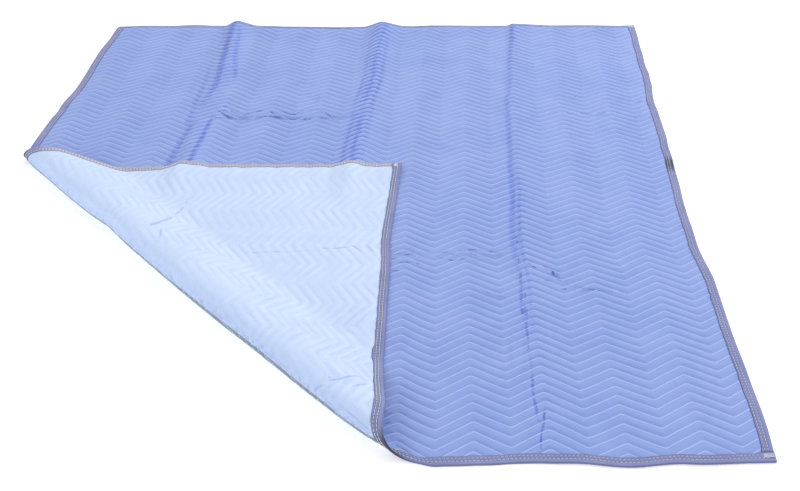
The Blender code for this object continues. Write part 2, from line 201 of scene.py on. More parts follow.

# Narrow lines pressed into the blue face along those creases, broken into dashes by the rows; the face material also
# paints them in as dark shade lines
TROUGHS_AWAY = (
    Trough(half_width=0.011, depth=0.0016, dashed=0.15, path=(
        Mark(0.436, 1.42, 0.2), Mark(0.440, 1.55, 0.8), Mark(0.434, 1.68, 1.0),
        Mark(0.424, 1.83, 1.0), Mark(0.410, 2.03, 0.9))),
    Trough(half_width=0.0075, depth=0.0013, dashed=0.7, path=(
        Mark(0.494, 1.58, 0.0), Mark(0.489, 1.63, 0.9), Mark(0.472, 1.74, 1.0),
        Mark(0.453, 1.87, 0.8), Mark(0.440, 1.98, 0.5))),
    Trough(half_width=0.0080, depth=0.0012, dashed=0.8, path=(
        Mark(0.418, 1.30, 0.7), Mark(0.409, 1.45, 0.8), Mark(0.400, 1.55, 0.7),
        Mark(0.394, 1.68, 0.5), Mark(0.392, 1.90, 0.2))),
    Trough(half_width=0.007, depth=0.0020, dashed=0.15, path=(
        Mark(0.480, 1.06, 0.9), Mark(0.483, 1.21, 1.0), Mark(0.483, 1.32, 1.0),
        Mark(0.486, 1.36, 0.0))),
    Trough(half_width=0.010, depth=0.0018, dashed=0.4, path=(
        Mark(0.416, 1.06, 0.8), Mark(0.424, 1.19, 0.9), Mark(0.432, 1.29, 0.7),
        Mark(0.430, 1.34, 0.2))),
    Trough(half_width=0.006, depth=0.0016, dashed=0.55, path=(
        Mark(0.930, 1.06, 1.0), Mark(0.930, 1.30, 0.9), Mark(0.931, 1.41, 0.2),
        Mark(0.934, 1.50, 0.8), Mark(0.935, 1.68, 1.0), Mark(0.937, 1.80, 0.6),
        Mark(0.950, 2.00, 0.5))),
    Trough(half_width=0.006, depth=0.0011, dashed=0.8, path=(
        Mark(0.900, 1.08, 0.8), Mark(0.905, 1.28, 0.9), Mark(0.903, 1.42, 0.2),
        Mark(0.905, 1.55, 0.9), Mark(0.908, 1.72, 0.5), Mark(0.905, 1.98, 0.3))),
    Trough(half_width=0.006, depth=0.0010, dashed=0.8, path=(
        Mark(0.955, 1.10, 0.2), Mark(0.958, 1.38, 0.4), Mark(0.960, 1.52, 0.9),
        Mark(0.966, 1.72, 0.8), Mark(0.966, 1.90, 0.3))),
    Trough(half_width=0.008, depth=0.0014, dashed=0.3, path=(
        Mark(1.377, 0.30, 0.1), Mark(1.376, 0.40, 0.2), Mark(1.375, 0.60, 0.3),
        Mark(1.370, 0.74, 0.7), Mark(1.377, 0.90, 0.8), Mark(1.373, 1.08, 0.7),
        Mark(1.372, 1.37, 0.5), Mark(1.375, 1.54, 0.4), Mark(1.383, 1.75, 0.5),
        Mark(1.397, 2.03, 0.8))),
    Trough(half_width=0.005, depth=0.0012, dashed=0.85, path=(
        Mark(1.395, 0.35, 0.3), Mark(1.393, 0.60, 0.6), Mark(1.390, 0.76, 0.9),
        Mark(1.396, 0.94, 0.9), Mark(1.390, 1.06, 0.2))),
)

# Creases that run across: the cloth stands higher on the far side of each line
LIPS_ACROSS = (
    Lip(rise=0.0042, tail=0.055, path=(
        Mark(0.470, 1.332, 0.2), Mark(0.486, 1.350, 0.9), Mark(0.530, 1.352, 1.0),
        Mark(0.600, 1.350, 0.9), Mark(0.660, 1.354, 0.8), Mark(0.760, 1.352, 0.9),
        Mark(0.880, 1.358, 0.7), Mark(0.930, 1.374, 0.1), Mark(1.100, 1.374, 0.15),
        Mark(1.400, 1.374, 0.12), Mark(1.560, 1.376, 0.28), Mark(1.790, 1.376, 0.1))),
    Lip(rise=0.0026, tail=0.050, path=(
        Mark(1.075, 0.668, 0.2), Mark(1.130, 0.664, 0.5), Mark(1.230, 0.656, 0.6),
        Mark(1.290, 0.655, 0.9), Mark(1.345, 0.652, 0.9), Mark(1.380, 0.645, 0.3),
        Mark(1.415, 0.618, 0.6), Mark(1.448, 0.597, 0.9), Mark(1.470, 0.560, 1.0),
        Mark(1.500, 0.533, 0.7), Mark(1.535, 0.524, 0.9), Mark(1.572, 0.520, 0.8),
        Mark(1.610, 0.517, 0.0))),
)

# Soft creases on the turned-over corner, by their place on the floor; strength is the rise in metres
FLAP_CREASES = (
    ((0.095, 0.780), (0.150, 0.900), 0.020, 0.0022),
    ((0.300, 0.727), (0.560, 0.735), 0.012, 0.0014),
    ((0.560, 0.735), (1.050, 0.724), 0.012, 0.0018),
    ((0.920, 0.215), (1.010, 0.185), 0.010, 0.0020),
    ((1.010, 0.185), (1.050, 0.250), 0.010, 0.0014),
    ((0.450, 1.055), (0.450, 0.880), 0.022, 0.0016),
    ((0.930, 1.055), (0.930, 0.800), 0.025, 0.0016),
    ((0.700, 0.420), (0.900, 0.560), 0.030, 0.0012),
    ((0.420, 0.640), (0.300, 0.860), 0.028, 0.0010),
)

# Places beside the cross creases where the cloth is pulled smooth; the painted row shade and the pale thread band with
# its painted highlight are weakened there
SMOOTH_PATCHES = (
    Stroke(0.500, 1.372, 0.920, 1.378, 0.0300, 1.20), Stroke(1.080, 0.655, 1.350, 0.672, 0.0260, 0.90),
)

# Painted shade: short dark marks where the cross creases pinch the blue face, by their ends on the flat cloth
FACE_CREASE_SHADE = (
    Stroke(0.482, 1.332, 0.488, 1.346, 0.0040, 0.90), Stroke(0.488, 1.346, 0.517, 1.347, 0.0040, 0.90),
    Stroke(0.497, 1.383, 0.534, 1.350, 0.0056, 1.50), Stroke(0.534, 1.350, 0.550, 1.344, 0.0056, 1.60),
    Stroke(0.550, 1.344, 0.581, 1.343, 0.0054, 1.50), Stroke(0.581, 1.343, 0.603, 1.345, 0.0054, 1.50),
    Stroke(0.499, 1.389, 0.519, 1.389, 0.0040, 0.60), Stroke(0.528, 1.390, 0.554, 1.372, 0.0045, 0.90),
    Stroke(0.554, 1.372, 0.578, 1.368, 0.0045, 0.90), Stroke(0.578, 1.368, 0.596, 1.384, 0.0040, 0.60),
    Stroke(0.596, 1.384, 0.630, 1.400, 0.0040, 0.60), Stroke(0.608, 1.352, 0.650, 1.360, 0.0040, 0.70),
    Stroke(0.650, 1.360, 0.684, 1.353, 0.0040, 0.70), Stroke(0.651, 1.392, 0.679, 1.357, 0.0054, 1.40),
    Stroke(0.679, 1.357, 0.696, 1.348, 0.0054, 1.40), Stroke(0.695, 1.348, 0.721, 1.347, 0.0052, 1.40),
    Stroke(0.721, 1.347, 0.750, 1.350, 0.0052, 1.40), Stroke(0.686, 1.394, 0.712, 1.376, 0.0045, 0.80),
    Stroke(0.712, 1.376, 0.730, 1.374, 0.0045, 0.80), Stroke(0.730, 1.374, 0.748, 1.405, 0.0040, 0.60),
    Stroke(0.748, 1.405, 0.788, 1.412, 0.0040, 0.60), Stroke(0.756, 1.349, 0.786, 1.348, 0.0042, 0.80),
    Stroke(0.801, 1.355, 0.833, 1.351, 0.0040, 0.70), Stroke(0.792, 1.410, 0.814, 1.396, 0.0048, 0.80),
    Stroke(0.814, 1.396, 0.840, 1.360, 0.0048, 0.80), Stroke(0.840, 1.360, 0.864, 1.342, 0.0048, 0.80),
    Stroke(0.648, 1.432, 0.665, 1.431, 0.0050, 0.70), Stroke(0.499, 1.416, 0.516, 1.419, 0.0050, 0.60),
    Stroke(0.525, 1.416, 0.561, 1.413, 0.0050, 0.50), Stroke(1.072, 0.664, 1.096, 0.667, 0.0040, 0.60),
    Stroke(1.099, 0.661, 1.123, 0.664, 0.0040, 0.55), Stroke(1.072, 0.644, 1.086, 0.646, 0.0040, 0.50),
    Stroke(1.086, 0.630, 1.122, 0.634, 0.0040, 0.80), Stroke(1.128, 0.630, 1.149, 0.626, 0.0040, 0.70),
    Stroke(1.072, 0.598, 1.090, 0.598, 0.0040, 0.60), Stroke(1.189, 0.672, 1.209, 0.670, 0.0040, 0.65),
    Stroke(1.212, 0.668, 1.232, 0.658, 0.0040, 0.55), Stroke(1.241, 0.679, 1.288, 0.680, 0.0040, 1.00),
    Stroke(1.185, 0.648, 1.204, 0.649, 0.0040, 0.55), Stroke(1.206, 0.642, 1.236, 0.640, 0.0040, 1.00),
    Stroke(1.237, 0.643, 1.252, 0.648, 0.0040, 0.60), Stroke(1.263, 0.664, 1.278, 0.658, 0.0040, 0.80),
    Stroke(1.255, 0.640, 1.281, 0.634, 0.0040, 0.55), Stroke(1.289, 0.676, 1.340, 0.668, 0.0040, 0.45),
    Stroke(1.340, 0.677, 1.377, 0.687, 0.0040, 0.50), Stroke(1.283, 0.647, 1.325, 0.634, 0.0040, 0.35),
    Stroke(1.400, 0.624, 1.407, 0.612, 0.0040, 0.80), Stroke(1.407, 0.612, 1.418, 0.604, 0.0040, 0.80),
    Stroke(1.435, 0.611, 1.454, 0.590, 0.0040, 0.65), Stroke(1.454, 0.594, 1.454, 0.576, 0.0040, 1.20),
    Stroke(1.454, 0.576, 1.471, 0.553, 0.0040, 1.10), Stroke(1.425, 0.562, 1.443, 0.553, 0.0040, 0.65),
    Stroke(1.468, 0.525, 1.481, 0.526, 0.0040, 0.80), Stroke(1.507, 0.529, 1.521, 0.532, 0.0040, 0.60),
    Stroke(1.530, 0.528, 1.557, 0.524, 0.0040, 0.90), Stroke(1.376, 0.732, 1.390, 0.722, 0.0060, 0.70),
    Stroke(1.380, 0.716, 1.385, 0.696, 0.0060, 0.60), Stroke(1.381, 0.654, 1.378, 0.622, 0.0035, 0.50),
    Stroke(1.378, 0.582, 1.373, 0.552, 0.0040, 0.80), Stroke(1.376, 0.538, 1.374, 0.522, 0.0035, 0.60),
    Stroke(1.375, 0.512, 1.372, 0.474, 0.0050, 0.70), Stroke(1.383, 0.512, 1.382, 0.490, 0.0035, 0.55),
    Stroke(1.372, 0.460, 1.374, 0.430, 0.0060, 0.60), Stroke(1.381, 0.451, 1.382, 0.418, 0.0050, 0.55),
    Stroke(1.382, 0.412, 1.383, 0.392, 0.0050, 0.35), Stroke(1.314, 0.506, 1.337, 0.490, 0.0070, 0.45),
    Stroke(1.279, 0.532, 1.310, 0.498, 0.0060, 0.30), Stroke(1.080, 0.124, 1.098, 0.138, 0.0032, 0.50),
    Stroke(1.080, 0.104, 1.094, 0.110, 0.0032, 0.60), Stroke(1.081, 0.077, 1.099, 0.084, 0.0032, 0.60),
    Stroke(1.098, 0.044, 1.106, 0.036, 0.0070, 0.40), Stroke(1.081, 0.152, 1.082, 0.131, 0.0040, 0.40),
    Stroke(1.595, 1.376, 1.614, 1.370, 0.0040, 0.80), Stroke(1.614, 1.370, 1.632, 1.368, 0.0040, 0.80),
    Stroke(1.638, 1.360, 1.650, 1.362, 0.0045, 1.10), Stroke(1.650, 1.362, 1.666, 1.372, 0.0045, 1.10),
    Stroke(1.766, 1.440, 1.791, 1.448, 0.0040, 0.70), Stroke(1.768, 1.421, 1.785, 1.429, 0.0040, 0.60),
    Stroke(1.763, 1.403, 1.781, 1.405, 0.0040, 0.60), Stroke(1.539, 1.380, 1.573, 1.372, 0.0040, 0.35),
    Stroke(1.380, 0.456, 1.382, 0.426, 0.0045, 0.75), Stroke(1.379, 0.404, 1.382, 0.346, 0.0045, 0.75),
    Stroke(1.380, 0.332, 1.381, 0.316, 0.0045, 0.60), Stroke(1.382, 0.290, 1.382, 0.262, 0.0045, 0.55),
    Stroke(1.382, 0.244, 1.380, 0.176, 0.0055, 0.70), Stroke(1.381, 0.170, 1.382, 0.122, 0.0055, 0.60),
    Stroke(1.382, 0.112, 1.388, 0.100, 0.0045, 0.50), Stroke(1.399, 0.142, 1.394, 0.102, 0.0040, 0.75),
    Stroke(1.394, 0.102, 1.388, 0.068, 0.0040, 0.70), Stroke(1.387, 0.068, 1.386, 0.034, 0.0040, 0.65),
    Stroke(1.342, 0.366, 1.338, 0.234, 0.0200, 0.22), Stroke(1.375, 0.599, 1.375, 0.540, 0.0045, 0.35),
    Stroke(1.375, 0.540, 1.370, 0.478, 0.0045, 0.35),
)

# Where the rows on the turned-over corner get painted shade as blue bands
FLAP_ROW_SHADE_PLACES = (
    Stroke(0.700, 0.205, 0.890, 0.025, 0.1000, 0.95), Stroke(0.550, 0.330, 0.640, 0.240, 0.0700, 0.60),
    Stroke(0.600, 0.120, 0.700, 0.030, 0.1000, 0.55), Stroke(0.330, 0.560, 0.500, 0.420, 0.0700, 0.50),
)

# Painted shade of thin wrinkles on the turned-over corner, also on the flat cloth
FLAP_WRINKLE_SHADE = (
    Stroke(0.372, 0.590, 0.342, 0.576, 0.0075, 0.90), Stroke(0.342, 0.576, 0.279, 0.557, 0.0075, 0.90),
    Stroke(0.251, 0.556, 0.224, 0.554, 0.0050, 0.80), Stroke(0.219, 0.551, 0.204, 0.550, 0.0045, 0.70),
    Stroke(0.189, 0.549, 0.175, 0.546, 0.0040, 0.50), Stroke(0.172, 0.544, 0.160, 0.534, 0.0040, 0.40),
    Stroke(0.369, 0.564, 0.427, 0.555, 0.0050, 0.60), Stroke(0.401, 0.336, 0.402, 0.321, 0.0040, 0.80),
    Stroke(0.398, 0.310, 0.398, 0.298, 0.0040, 0.80), Stroke(0.398, 0.290, 0.396, 0.268, 0.0040, 0.80),
    Stroke(0.398, 0.258, 0.388, 0.176, 0.0050, 0.30), Stroke(0.382, 0.166, 0.384, 0.152, 0.0040, 0.80),
    Stroke(0.384, 0.140, 0.376, 0.101, 0.0040, 0.90), Stroke(0.368, 0.096, 0.392, 0.071, 0.0040, 0.70),
    Stroke(0.368, 0.057, 0.396, 0.040, 0.0040, 0.70), Stroke(0.462, 0.452, 0.405, 0.345, 0.0060, 0.25),
    Stroke(0.950, 0.096, 0.977, 0.071, 0.0045, 0.30), Stroke(0.977, 0.071, 0.998, 0.051, 0.0045, 0.55),
    Stroke(0.998, 0.051, 1.030, 0.026, 0.0045, 0.55), Stroke(0.890, 0.113, 0.892, 0.109, 0.0030, 2.40),
    Stroke(0.900, 0.111, 0.896, 0.092, 0.0040, 0.90), Stroke(0.896, 0.092, 0.882, 0.066, 0.0040, 0.90),
    Stroke(0.882, 0.066, 0.876, 0.054, 0.0040, 0.90), Stroke(0.914, 0.062, 0.895, 0.035, 0.0040, 0.80),
    Stroke(0.918, 0.146, 0.910, 0.124, 0.0040, 0.80),
)

# Mesh fineness
COLUMNS_PER_WAVE = 16
LINES_IN_ROW = (0.0, 0.28, 0.72)
BINDING_STEP = 0.005
FACE_STITCH_LENGTH = 0.0050
BACK_STITCH_LENGTH = 0.0068
STITCH_GAP = 0.0007
STITCH_RADIUS = 0.00078

# Where the binding bends round the roll, along either strip
FOLD_PLACE = 1.078

# A small tuck on the inner side of the strip that shows on the turned-over corner
TUCK_PLACE = 0.757

# How much narrower the binding is in the photo than the rounded CAD width
LIP_SHORT = 0.0028

# Longest run of a table that a material looks up
CLOTH_REACH = 2.1

# The camera
CAMERA_PLACE = (0.3435, -2.2785, 1.427)
CAMERA_TILT = 54.06
CAMERA_LENS = 44.2
CAMERA_SHIFT = -0.09


def walk_section(bends):
    """Follow the cloth round the turned corner: run, outward and upward travel, and heading."""
    run, out, up, heading = 0.0, 0.0, 0.0, 0.0
    stations = [(run, out, up, heading)]
    for bend in bends:
        step = bend.length / bend.steps
        turn = bend.turn / bend.steps
        for _ in range(bend.steps):
            chord = step if turn == 0 else step * math.sin(turn / 2) / (turn / 2)
            out += chord * math.cos(heading + turn / 2)
            up += chord * math.sin(heading + turn / 2)
            heading += turn
            run += step
            stations.append((run, out, up, heading))
    return np.array(stations)


STATIONS = walk_section(SECTION)
ROLL_LENGTH = STATIONS[-1, 0]
ROLL_START = (ROOT_2 * FLAP_SIDE + ROLL_LENGTH + STATIONS[-1, 1]) / 2
ROLL_FOOT = ROLL_START - STATIONS[-1, 1]
BEYOND = 3.0
RUNS = np.concatenate(([-BEYOND], STATIONS[:, 0], [ROLL_LENGTH + BEYOND]))
OUTS = np.concatenate(([-BEYOND], STATIONS[:, 1], [STATIONS[-1, 1] - BEYOND]))
UPS = np.concatenate(([0.0], STATIONS[:, 2], [STATIONS[-1, 2]]))
HEADINGS = np.concatenate(([0.0], STATIONS[:, 3], [math.pi]))


def smooth_step(value, start, end):
    share = np.clip((value - start) / (end - start), 0.0, 1.0)
    return share * share * (3 - 2 * share)


def smoothed(rows, spread=0.018):
    """A table of edge shifts as a curve without kinks."""
    places = np.arange(-0.2, 2.3, 0.004)
    shifts = np.interp(places, [row.place for row in rows], [row.shift for row in rows])
    offsets = np.arange(-3 * spread, 3 * spread + 0.001, 0.004)
    weights = np.exp(-(offsets / spread) ** 2)
    return places, np.convolve(shifts, weights / weights.sum(), mode="same")


EDGES = {name: smoothed(rows) for name, rows in (
    ("left", LEFT_EDGE), ("right", RIGHT_EDGE), ("near", NEAR_EDGE), ("far", FAR_EDGE))}


def strayed(s, t):
    across = s / WIDTH
    deep = t / LENGTH
    shift_s = np.interp(t, *EDGES["left"]) * (1 - across) + np.interp(t, *EDGES["right"]) * across
    shift_t = np.interp(s, *EDGES["near"]) * (1 - deep) + np.interp(s, *EDGES["far"]) * deep
    return s + shift_s, t + shift_t


def waves(x, y, terms):
    """Soft unevenness from a few crossing waves: each term is length, direction, phase and weight."""
    total = np.zeros_like(x)
    for length, degrees, phase, weight in terms:
        angle = math.radians(degrees)
        place = (x * math.cos(angle) + y * math.sin(angle)) / length
        total = total + weight * np.sin(2 * math.pi * place + phase)
    return total


def tent(distance, left_foot, right_foot, soften):
    """A ridge's share of its height: 1 on the crest, easing to 0 at its feet."""
    foot = np.where(distance < 0, left_foot, right_foot)
    level = 1 - (np.sqrt(distance ** 2 + soften ** 2) - soften) / foot
    return 0.5 * (level + np.sqrt(level ** 2 + 0.01)) * smooth_step(level, -0.6, 0.25)


def path_table(path, along):
    rows = sorted(path, key=lambda mark: getattr(mark, along))
    return ([mark.s for mark in rows], [mark.t for mark in rows], [mark.strength for mark in rows])


def lift_at(x, y):
    """How far the cloth stands off the floor at a place on it."""
    lift = np.zeros_like(x)
    for ridge in RIDGES:
        sides, places, heights = path_table(ridge.path, "t")
        crest = np.interp(y, places, sides)
        height = np.interp(y, places, heights)
        lift = np.maximum(lift, height * tent(x - crest, ridge.left_foot, ridge.right_foot, ridge.soften))
    soft = waves(x, y, ((0.55, 20, 0.4, 0.5), (0.37, 75, 1.9, 0.5), (0.83, 130, 3.0, 0.7), (0.24, 160, 5.1, 0.25)))
    lift = lift + 0.0012 * np.clip(soft + 0.6, 0.0, None)
    lift = lift + FAR_RIM_RISE * smooth_step(y, 1.90, 1.998) * (1 - smooth_step(y, 1.998, 2.036))
    reach = (x + y) / ROOT_2
    return lift * smooth_step(reach, ROLL_FOOT, ROLL_FOOT + 0.07)


def roll_shift(along):
    """How far the roll stands back from, or out over, its straight diagonal."""
    return np.interp(along, [row.place for row in ROLL_LINE], [row.shift for row in ROLL_LINE])


def roll_swell(along):
    """How much taller or lower the roll stands, from its far end on the left to its near end."""
    trend = np.interp(along, (-1.1, -0.6, 0.2, 0.5, 0.7, 1.1), (-0.002, 0.001, -0.003, -0.008, -0.014, -0.020))
    return trend + 0.0014 * np.sin(along * 17 + 0.5) + 0.0009 * np.sin(along * 31 + 2.0)


def cloth(s, t, h):
    """Carry flat points to where they lie, in the CAD model's frame."""
    s, t = strayed(s, t)
    reach = (s + t) / ROOT_2
    along = (s - t) / ROOT_2
    run = ROLL_START - reach
    above = h - MIDDLE
    heading = np.interp(run, RUNS, HEADINGS)
    out = np.interp(run, RUNS, OUTS) - above * np.sin(heading)
    up = np.interp(run, RUNS, UPS) + above * np.cos(heading)
    window = np.sin(math.pi * np.clip(run / ROLL_LENGTH, 0.0, 1.0)) ** 2
    up = up + roll_swell(along) * window
    held = smooth_step(run, -0.036, 0.014) * (1 - smooth_step(run, 0.45 * ROLL_LENGTH, ROLL_LENGTH))
    reach = ROLL_START - out + roll_shift(along) * held
    x = (reach + along) / ROOT_2
    y = (reach - along) / ROOT_2
    lies_flat = (run <= 0) | (run >= ROLL_LENGTH)
    z = MIDDLE + up + np.where(lies_flat, lift_at(x, y), 0.0)
    over = smooth_step(run, ROLL_LENGTH - 0.03, ROLL_LENGTH + 0.08)
    rim = smooth_step(y, FLAP_SIDE - 0.12, FLAP_SIDE - 0.026) * (1 - smooth_step(y, FLAP_SIDE - 0.026, FLAP_SIDE + 0.004))
    z = z + over * rim * (FLAP_RIM_RISE + 0.0016 * waves(x, y, ((0.083, 0, 0.4, 0.6), (0.047, 0, 2.0, 0.5), (0.031, 0, 4.0, 0.4))))
    y = y + over * FLAP_REACH_AWAY * smooth_step(x, 0.36, 0.52) * smooth_step(y, 0.60, 1.00)
    z = z + over * FLAP_CORNER_RISE * smooth_step(x, 0.96, 1.05) * smooth_step(y, 0.96, 1.05)
    z = np.maximum(z, 0.0)
    return np.stack((x - ORIGIN[0], y - ORIGIN[1], z - ORIGIN[2]), axis=-1)


def turned_share(s, t):
    """0 on the floor side, 1 where the corner lies turned over."""
    run = ROLL_START - (s + t) / ROOT_2
    return smooth_step(run, 0.02, 0.5 * ROLL_LENGTH)


def landing(s, t):
    """The place on the floor of a point of the turned-over corner."""
    run = ROLL_START - (s + t) / ROOT_2
    reach = ROLL_START - np.interp(run, RUNS, OUTS)
    along = (s - t) / ROOT_2
    return (reach + along) / ROOT_2, (reach - along) / ROOT_2


def zigzag(s, t):
    """How far a row's line lies from its middle at a place."""
    phase = (s + SIDE_DRIFT * t - FIRST_POINT) / WAVE_LENGTH
    off_point = np.abs(phase - np.round(phase))
    off_tip = np.minimum(off_point, 0.5 - off_point)
    climb = MIDDLE_ROOT - np.sqrt(off_tip ** 2 + TIP_ROUNDING ** 2)
    return 2 * WAVE_DEPTH * climb * np.where(off_point < 0.25, -1, 1)


def quilt_grid():
    """Places of the grid that both layers share: rows follow the stitches, columns the zigzag's drift."""
    step = WAVE_LENGTH / COLUMNS_PER_WAVE
    columns = FIRST_POINT + step * np.arange(-22, math.ceil(WIDTH / step) + 10)
    rows = []
    shares = []
    for row in range(-4, math.ceil(LENGTH / ROW_PITCH) + 3):
        for share in LINES_IN_ROW:
            rows.append(ROW_START + (row + share) * ROW_PITCH)
            shares.append(share)
    base = np.array(rows)[:, None] + 0 * columns[None, :]
    t = base.copy()
    for _ in range(5):
        s = np.clip(columns[None, :] - SIDE_DRIFT * t, EDGE_INSET, WIDTH - EDGE_INSET)
        t = np.clip(base + zigzag(s, t), EDGE_INSET, LENGTH - EDGE_INSET)
    snap_columns(s, t)
    snap_rows(s, t)
    return s, t, np.array(shares)


def snap_columns(s, t):
    """Bring the nearest column of points onto each ridge's crest."""
    for ridge in RIDGES:
        sides, places, heights = path_table(ridge.path, "t")
        crest = np.interp(t, places, sides)
        nearest = np.abs(s - crest).argmin(axis=1)
        for row, column in enumerate(nearest):
            raised = np.interp(t[row, column], places, heights) > 0.0005
            inside = EDGE_INSET < t[row, column] < LENGTH - EDGE_INSET
            if raised and inside:
                s[row, column] = crest[row, column]


def snap_rows(s, t):
    """Bring the two nearest rows of points to either side of each crease that runs across."""
    for lip in LIPS_ACROSS:
        sides, places, strengths = path_table(lip.path, "s")
        for column in range(s.shape[1]):
            place = np.interp(s[:, column], sides, places)
            strength = np.interp(s[:, column], sides, strengths, left=0.0, right=0.0)
            above = t[:, column] - place
            upper = int(np.argmax(above > 0))
            if upper > 0 and strength[upper] > 0.08:
                t[upper, column] = place[upper] + 0.0022
                t[upper - 1, column] = place[upper - 1] - 0.0018


def rim_distance(s, t):
    return np.minimum(np.minimum(s, WIDTH - s), np.minimum(t, LENGTH - t))


def face_relief(s, t, share):
    """Height of the blue face above its stitches."""
    profile = np.sin(math.pi * share) ** 0.7 / 0.83
    profile = profile[:, None] + 0 * s
    uneven = waves(s, t, ((0.31, 35, 0.2, 0.10), (0.19, 100, 1.0, 0.08), (0.11, 150, 4.0, 0.07), (0.067, 60, 2.0, 0.06)))
    plump = 1 + uneven
    near_crease = np.zeros_like(s)
    dent = np.zeros_like(s)
    for trough in TROUGHS_AWAY:
        sides, places, strengths = path_table(trough.path, "t")
        middle = np.interp(t, places, sides)
        strength = np.interp(t, places, strengths, left=0.0, right=0.0)
        closeness = strength * np.exp(-((s - middle) / 0.010) ** 2)
        dashes = 1 - trough.dashed * profile
        dent = np.maximum(dent, 0.6 * trough.depth * closeness * dashes)
        wide = strength * np.exp(-((s - middle) / 0.020) ** 2)
        near_crease = np.maximum(near_crease, wide)
    rise = np.zeros_like(s)
    for lip in LIPS_ACROSS:
        sides, places, strengths = path_table(lip.path, "s")
        line = np.interp(s, sides, places)
        strength = np.interp(s, sides, strengths, left=0.0, right=0.0)
        above = t - line
        step = smooth_step(above, -0.0016, 0.0022)
        fade = np.exp(-np.clip(above, 0.0, None) / lip.tail)
        rise = np.maximum(rise, lip.rise * strength * step * fade * (0.45 + 0.55 * profile))
        closeness = strength * np.exp(-(above / 0.012) ** 2)
        plump = plump * (1 - 0.5 * strength * (1 - step) * np.exp(-(above / 0.020) ** 2))
        near_crease = np.maximum(near_crease, closeness)
    return FACE_PUFF * plump * profile * (1 + 0.35 * near_crease) + rise - dent


def face_heights(s, t, share):
    full = FACE_STITCH + face_relief(s, t, share)
    inside = FLAP_SIDE + PRESSED_MARGIN
    free = np.maximum(smooth_step(s, inside - 0.004, inside + 0.012), smooth_step(t, inside - 0.004, inside + 0.012))
    full = FACE_PRESSED + (full - FACE_PRESSED) * free
    inward = smooth_step(rim_distance(s, t), THIN_WIDTH, FULL_WIDTH)
    return EDGE_TOP + (full - EDGE_TOP) * inward


def flap_relief(x, y):
    """Rise of the turned-over corner's own soft creases, by the place on the floor."""
    rise = np.zeros_like(x)
    for (x_from, y_from), (x_to, y_to), width, height in FLAP_CREASES:
        run_x, run_y = x_to - x_from, y_to - y_from
        share = np.clip(((x - x_from) * run_x + (y - y_from) * run_y) / (run_x ** 2 + run_y ** 2), 0.0, 1.0)
        distance = np.hypot(x - x_from - share * run_x, y - y_from - share * run_y)
        rise = rise + height * np.exp(-(distance / width) ** 2)
    return rise


def back_heights(s, t, share):
    profile = (np.sin(math.pi * share) ** 0.7 / 0.83)[:, None] + 0 * s
    turned = turned_share(s, t)
    x, y = landing(s, t)
    dapple = waves(x, y, ((0.075, 15, 0.3, 0.25), (0.052, 80, 2.0, 0.22), (0.110, 125, 1.2, 0.28), (0.040, 150, 0.7, 0.15)))
    swell = BACK_PUFF * np.clip(0.75 + dapple, 0.1, None) * profile + flap_relief(x, y)
    under = UNDER_GROOVE * (1 - profile)
    full = under * (1 - turned) - swell * turned
    inward = smooth_step(rim_distance(s, t), THIN_WIDTH, FULL_WIDTH)
    return EDGE_UNDER + (full - EDGE_UNDER) * inward


def mesh_object(name, points, faces, material, flat=None):
    data = bpy.data.meshes.new(name)
    data.from_pydata(points.tolist(), [], faces)
    data.materials.append(material)
    data.polygons.foreach_set("use_smooth", np.ones(len(data.polygons), dtype=bool))
    if flat is not None:
        layer = data.uv_layers.new(name="flat")
        corners = np.empty(len(data.loops), dtype=np.int32)
        data.loops.foreach_get("vertex_index", corners)
        layer.data.foreach_set("uv", flat[corners].astype(np.float32).ravel())
    data.update()
    item = bpy.data.objects.new(name, data)
    bpy.context.scene.collection.objects.link(item)
    return item


def closed_sheet(name, s, t, outer, inner, material, facing_up):
    """A closed thin sheet over the grid; places that the edges clipped together become one point."""
    keys = np.round(np.stack((s.ravel(), t.ravel()), axis=1) * 1e6).astype(np.int64)
    _, first, same = np.unique(keys, axis=0, return_index=True, return_inverse=True)
    same = same.ravel()
    count = len(first)
    rows, columns = s.shape
    index = same.reshape(rows, columns)
    corners = np.stack((index[:-1, :-1], index[:-1, 1:], index[1:, 1:], index[1:, :-1]), axis=-1).reshape(-1, 4)
    flat_s, flat_t = s.ravel()[first], t.ravel()[first]
    across = flat_s[corners]
    deep = flat_t[corners]
    area = 0.5 * np.abs(np.sum(across * np.roll(deep, -1, axis=1) - np.roll(across, -1, axis=1) * deep, axis=1))
    corners = corners[area > 1e-9]
    tops = []
    for quad in corners.tolist():
        ring = [corner for place, corner in enumerate(quad) if corner != quad[place - 1]]
        if len(set(ring)) > 2:
            tops.append(ring)
    edges = {}
    for ring in tops:
        for place, corner in enumerate(ring):
            edges[(ring[place - 1], corner)] = True
    walls = [[end, start, start + count, end + count] for start, end in edges if (end, start) not in edges]
    bottoms = [[corner + count for corner in reversed(ring)] for ring in tops]
    faces = tops + bottoms + walls
    if not facing_up:
        faces = [face[::-1] for face in faces]
    points = np.concatenate((cloth(flat_s, flat_t, outer.ravel()[first]), cloth(flat_s, flat_t, inner + 0 * flat_s)))
    flat = np.stack((flat_s, flat_t), axis=1)
    return mesh_object(name, points, faces, material, np.concatenate((flat, flat)))


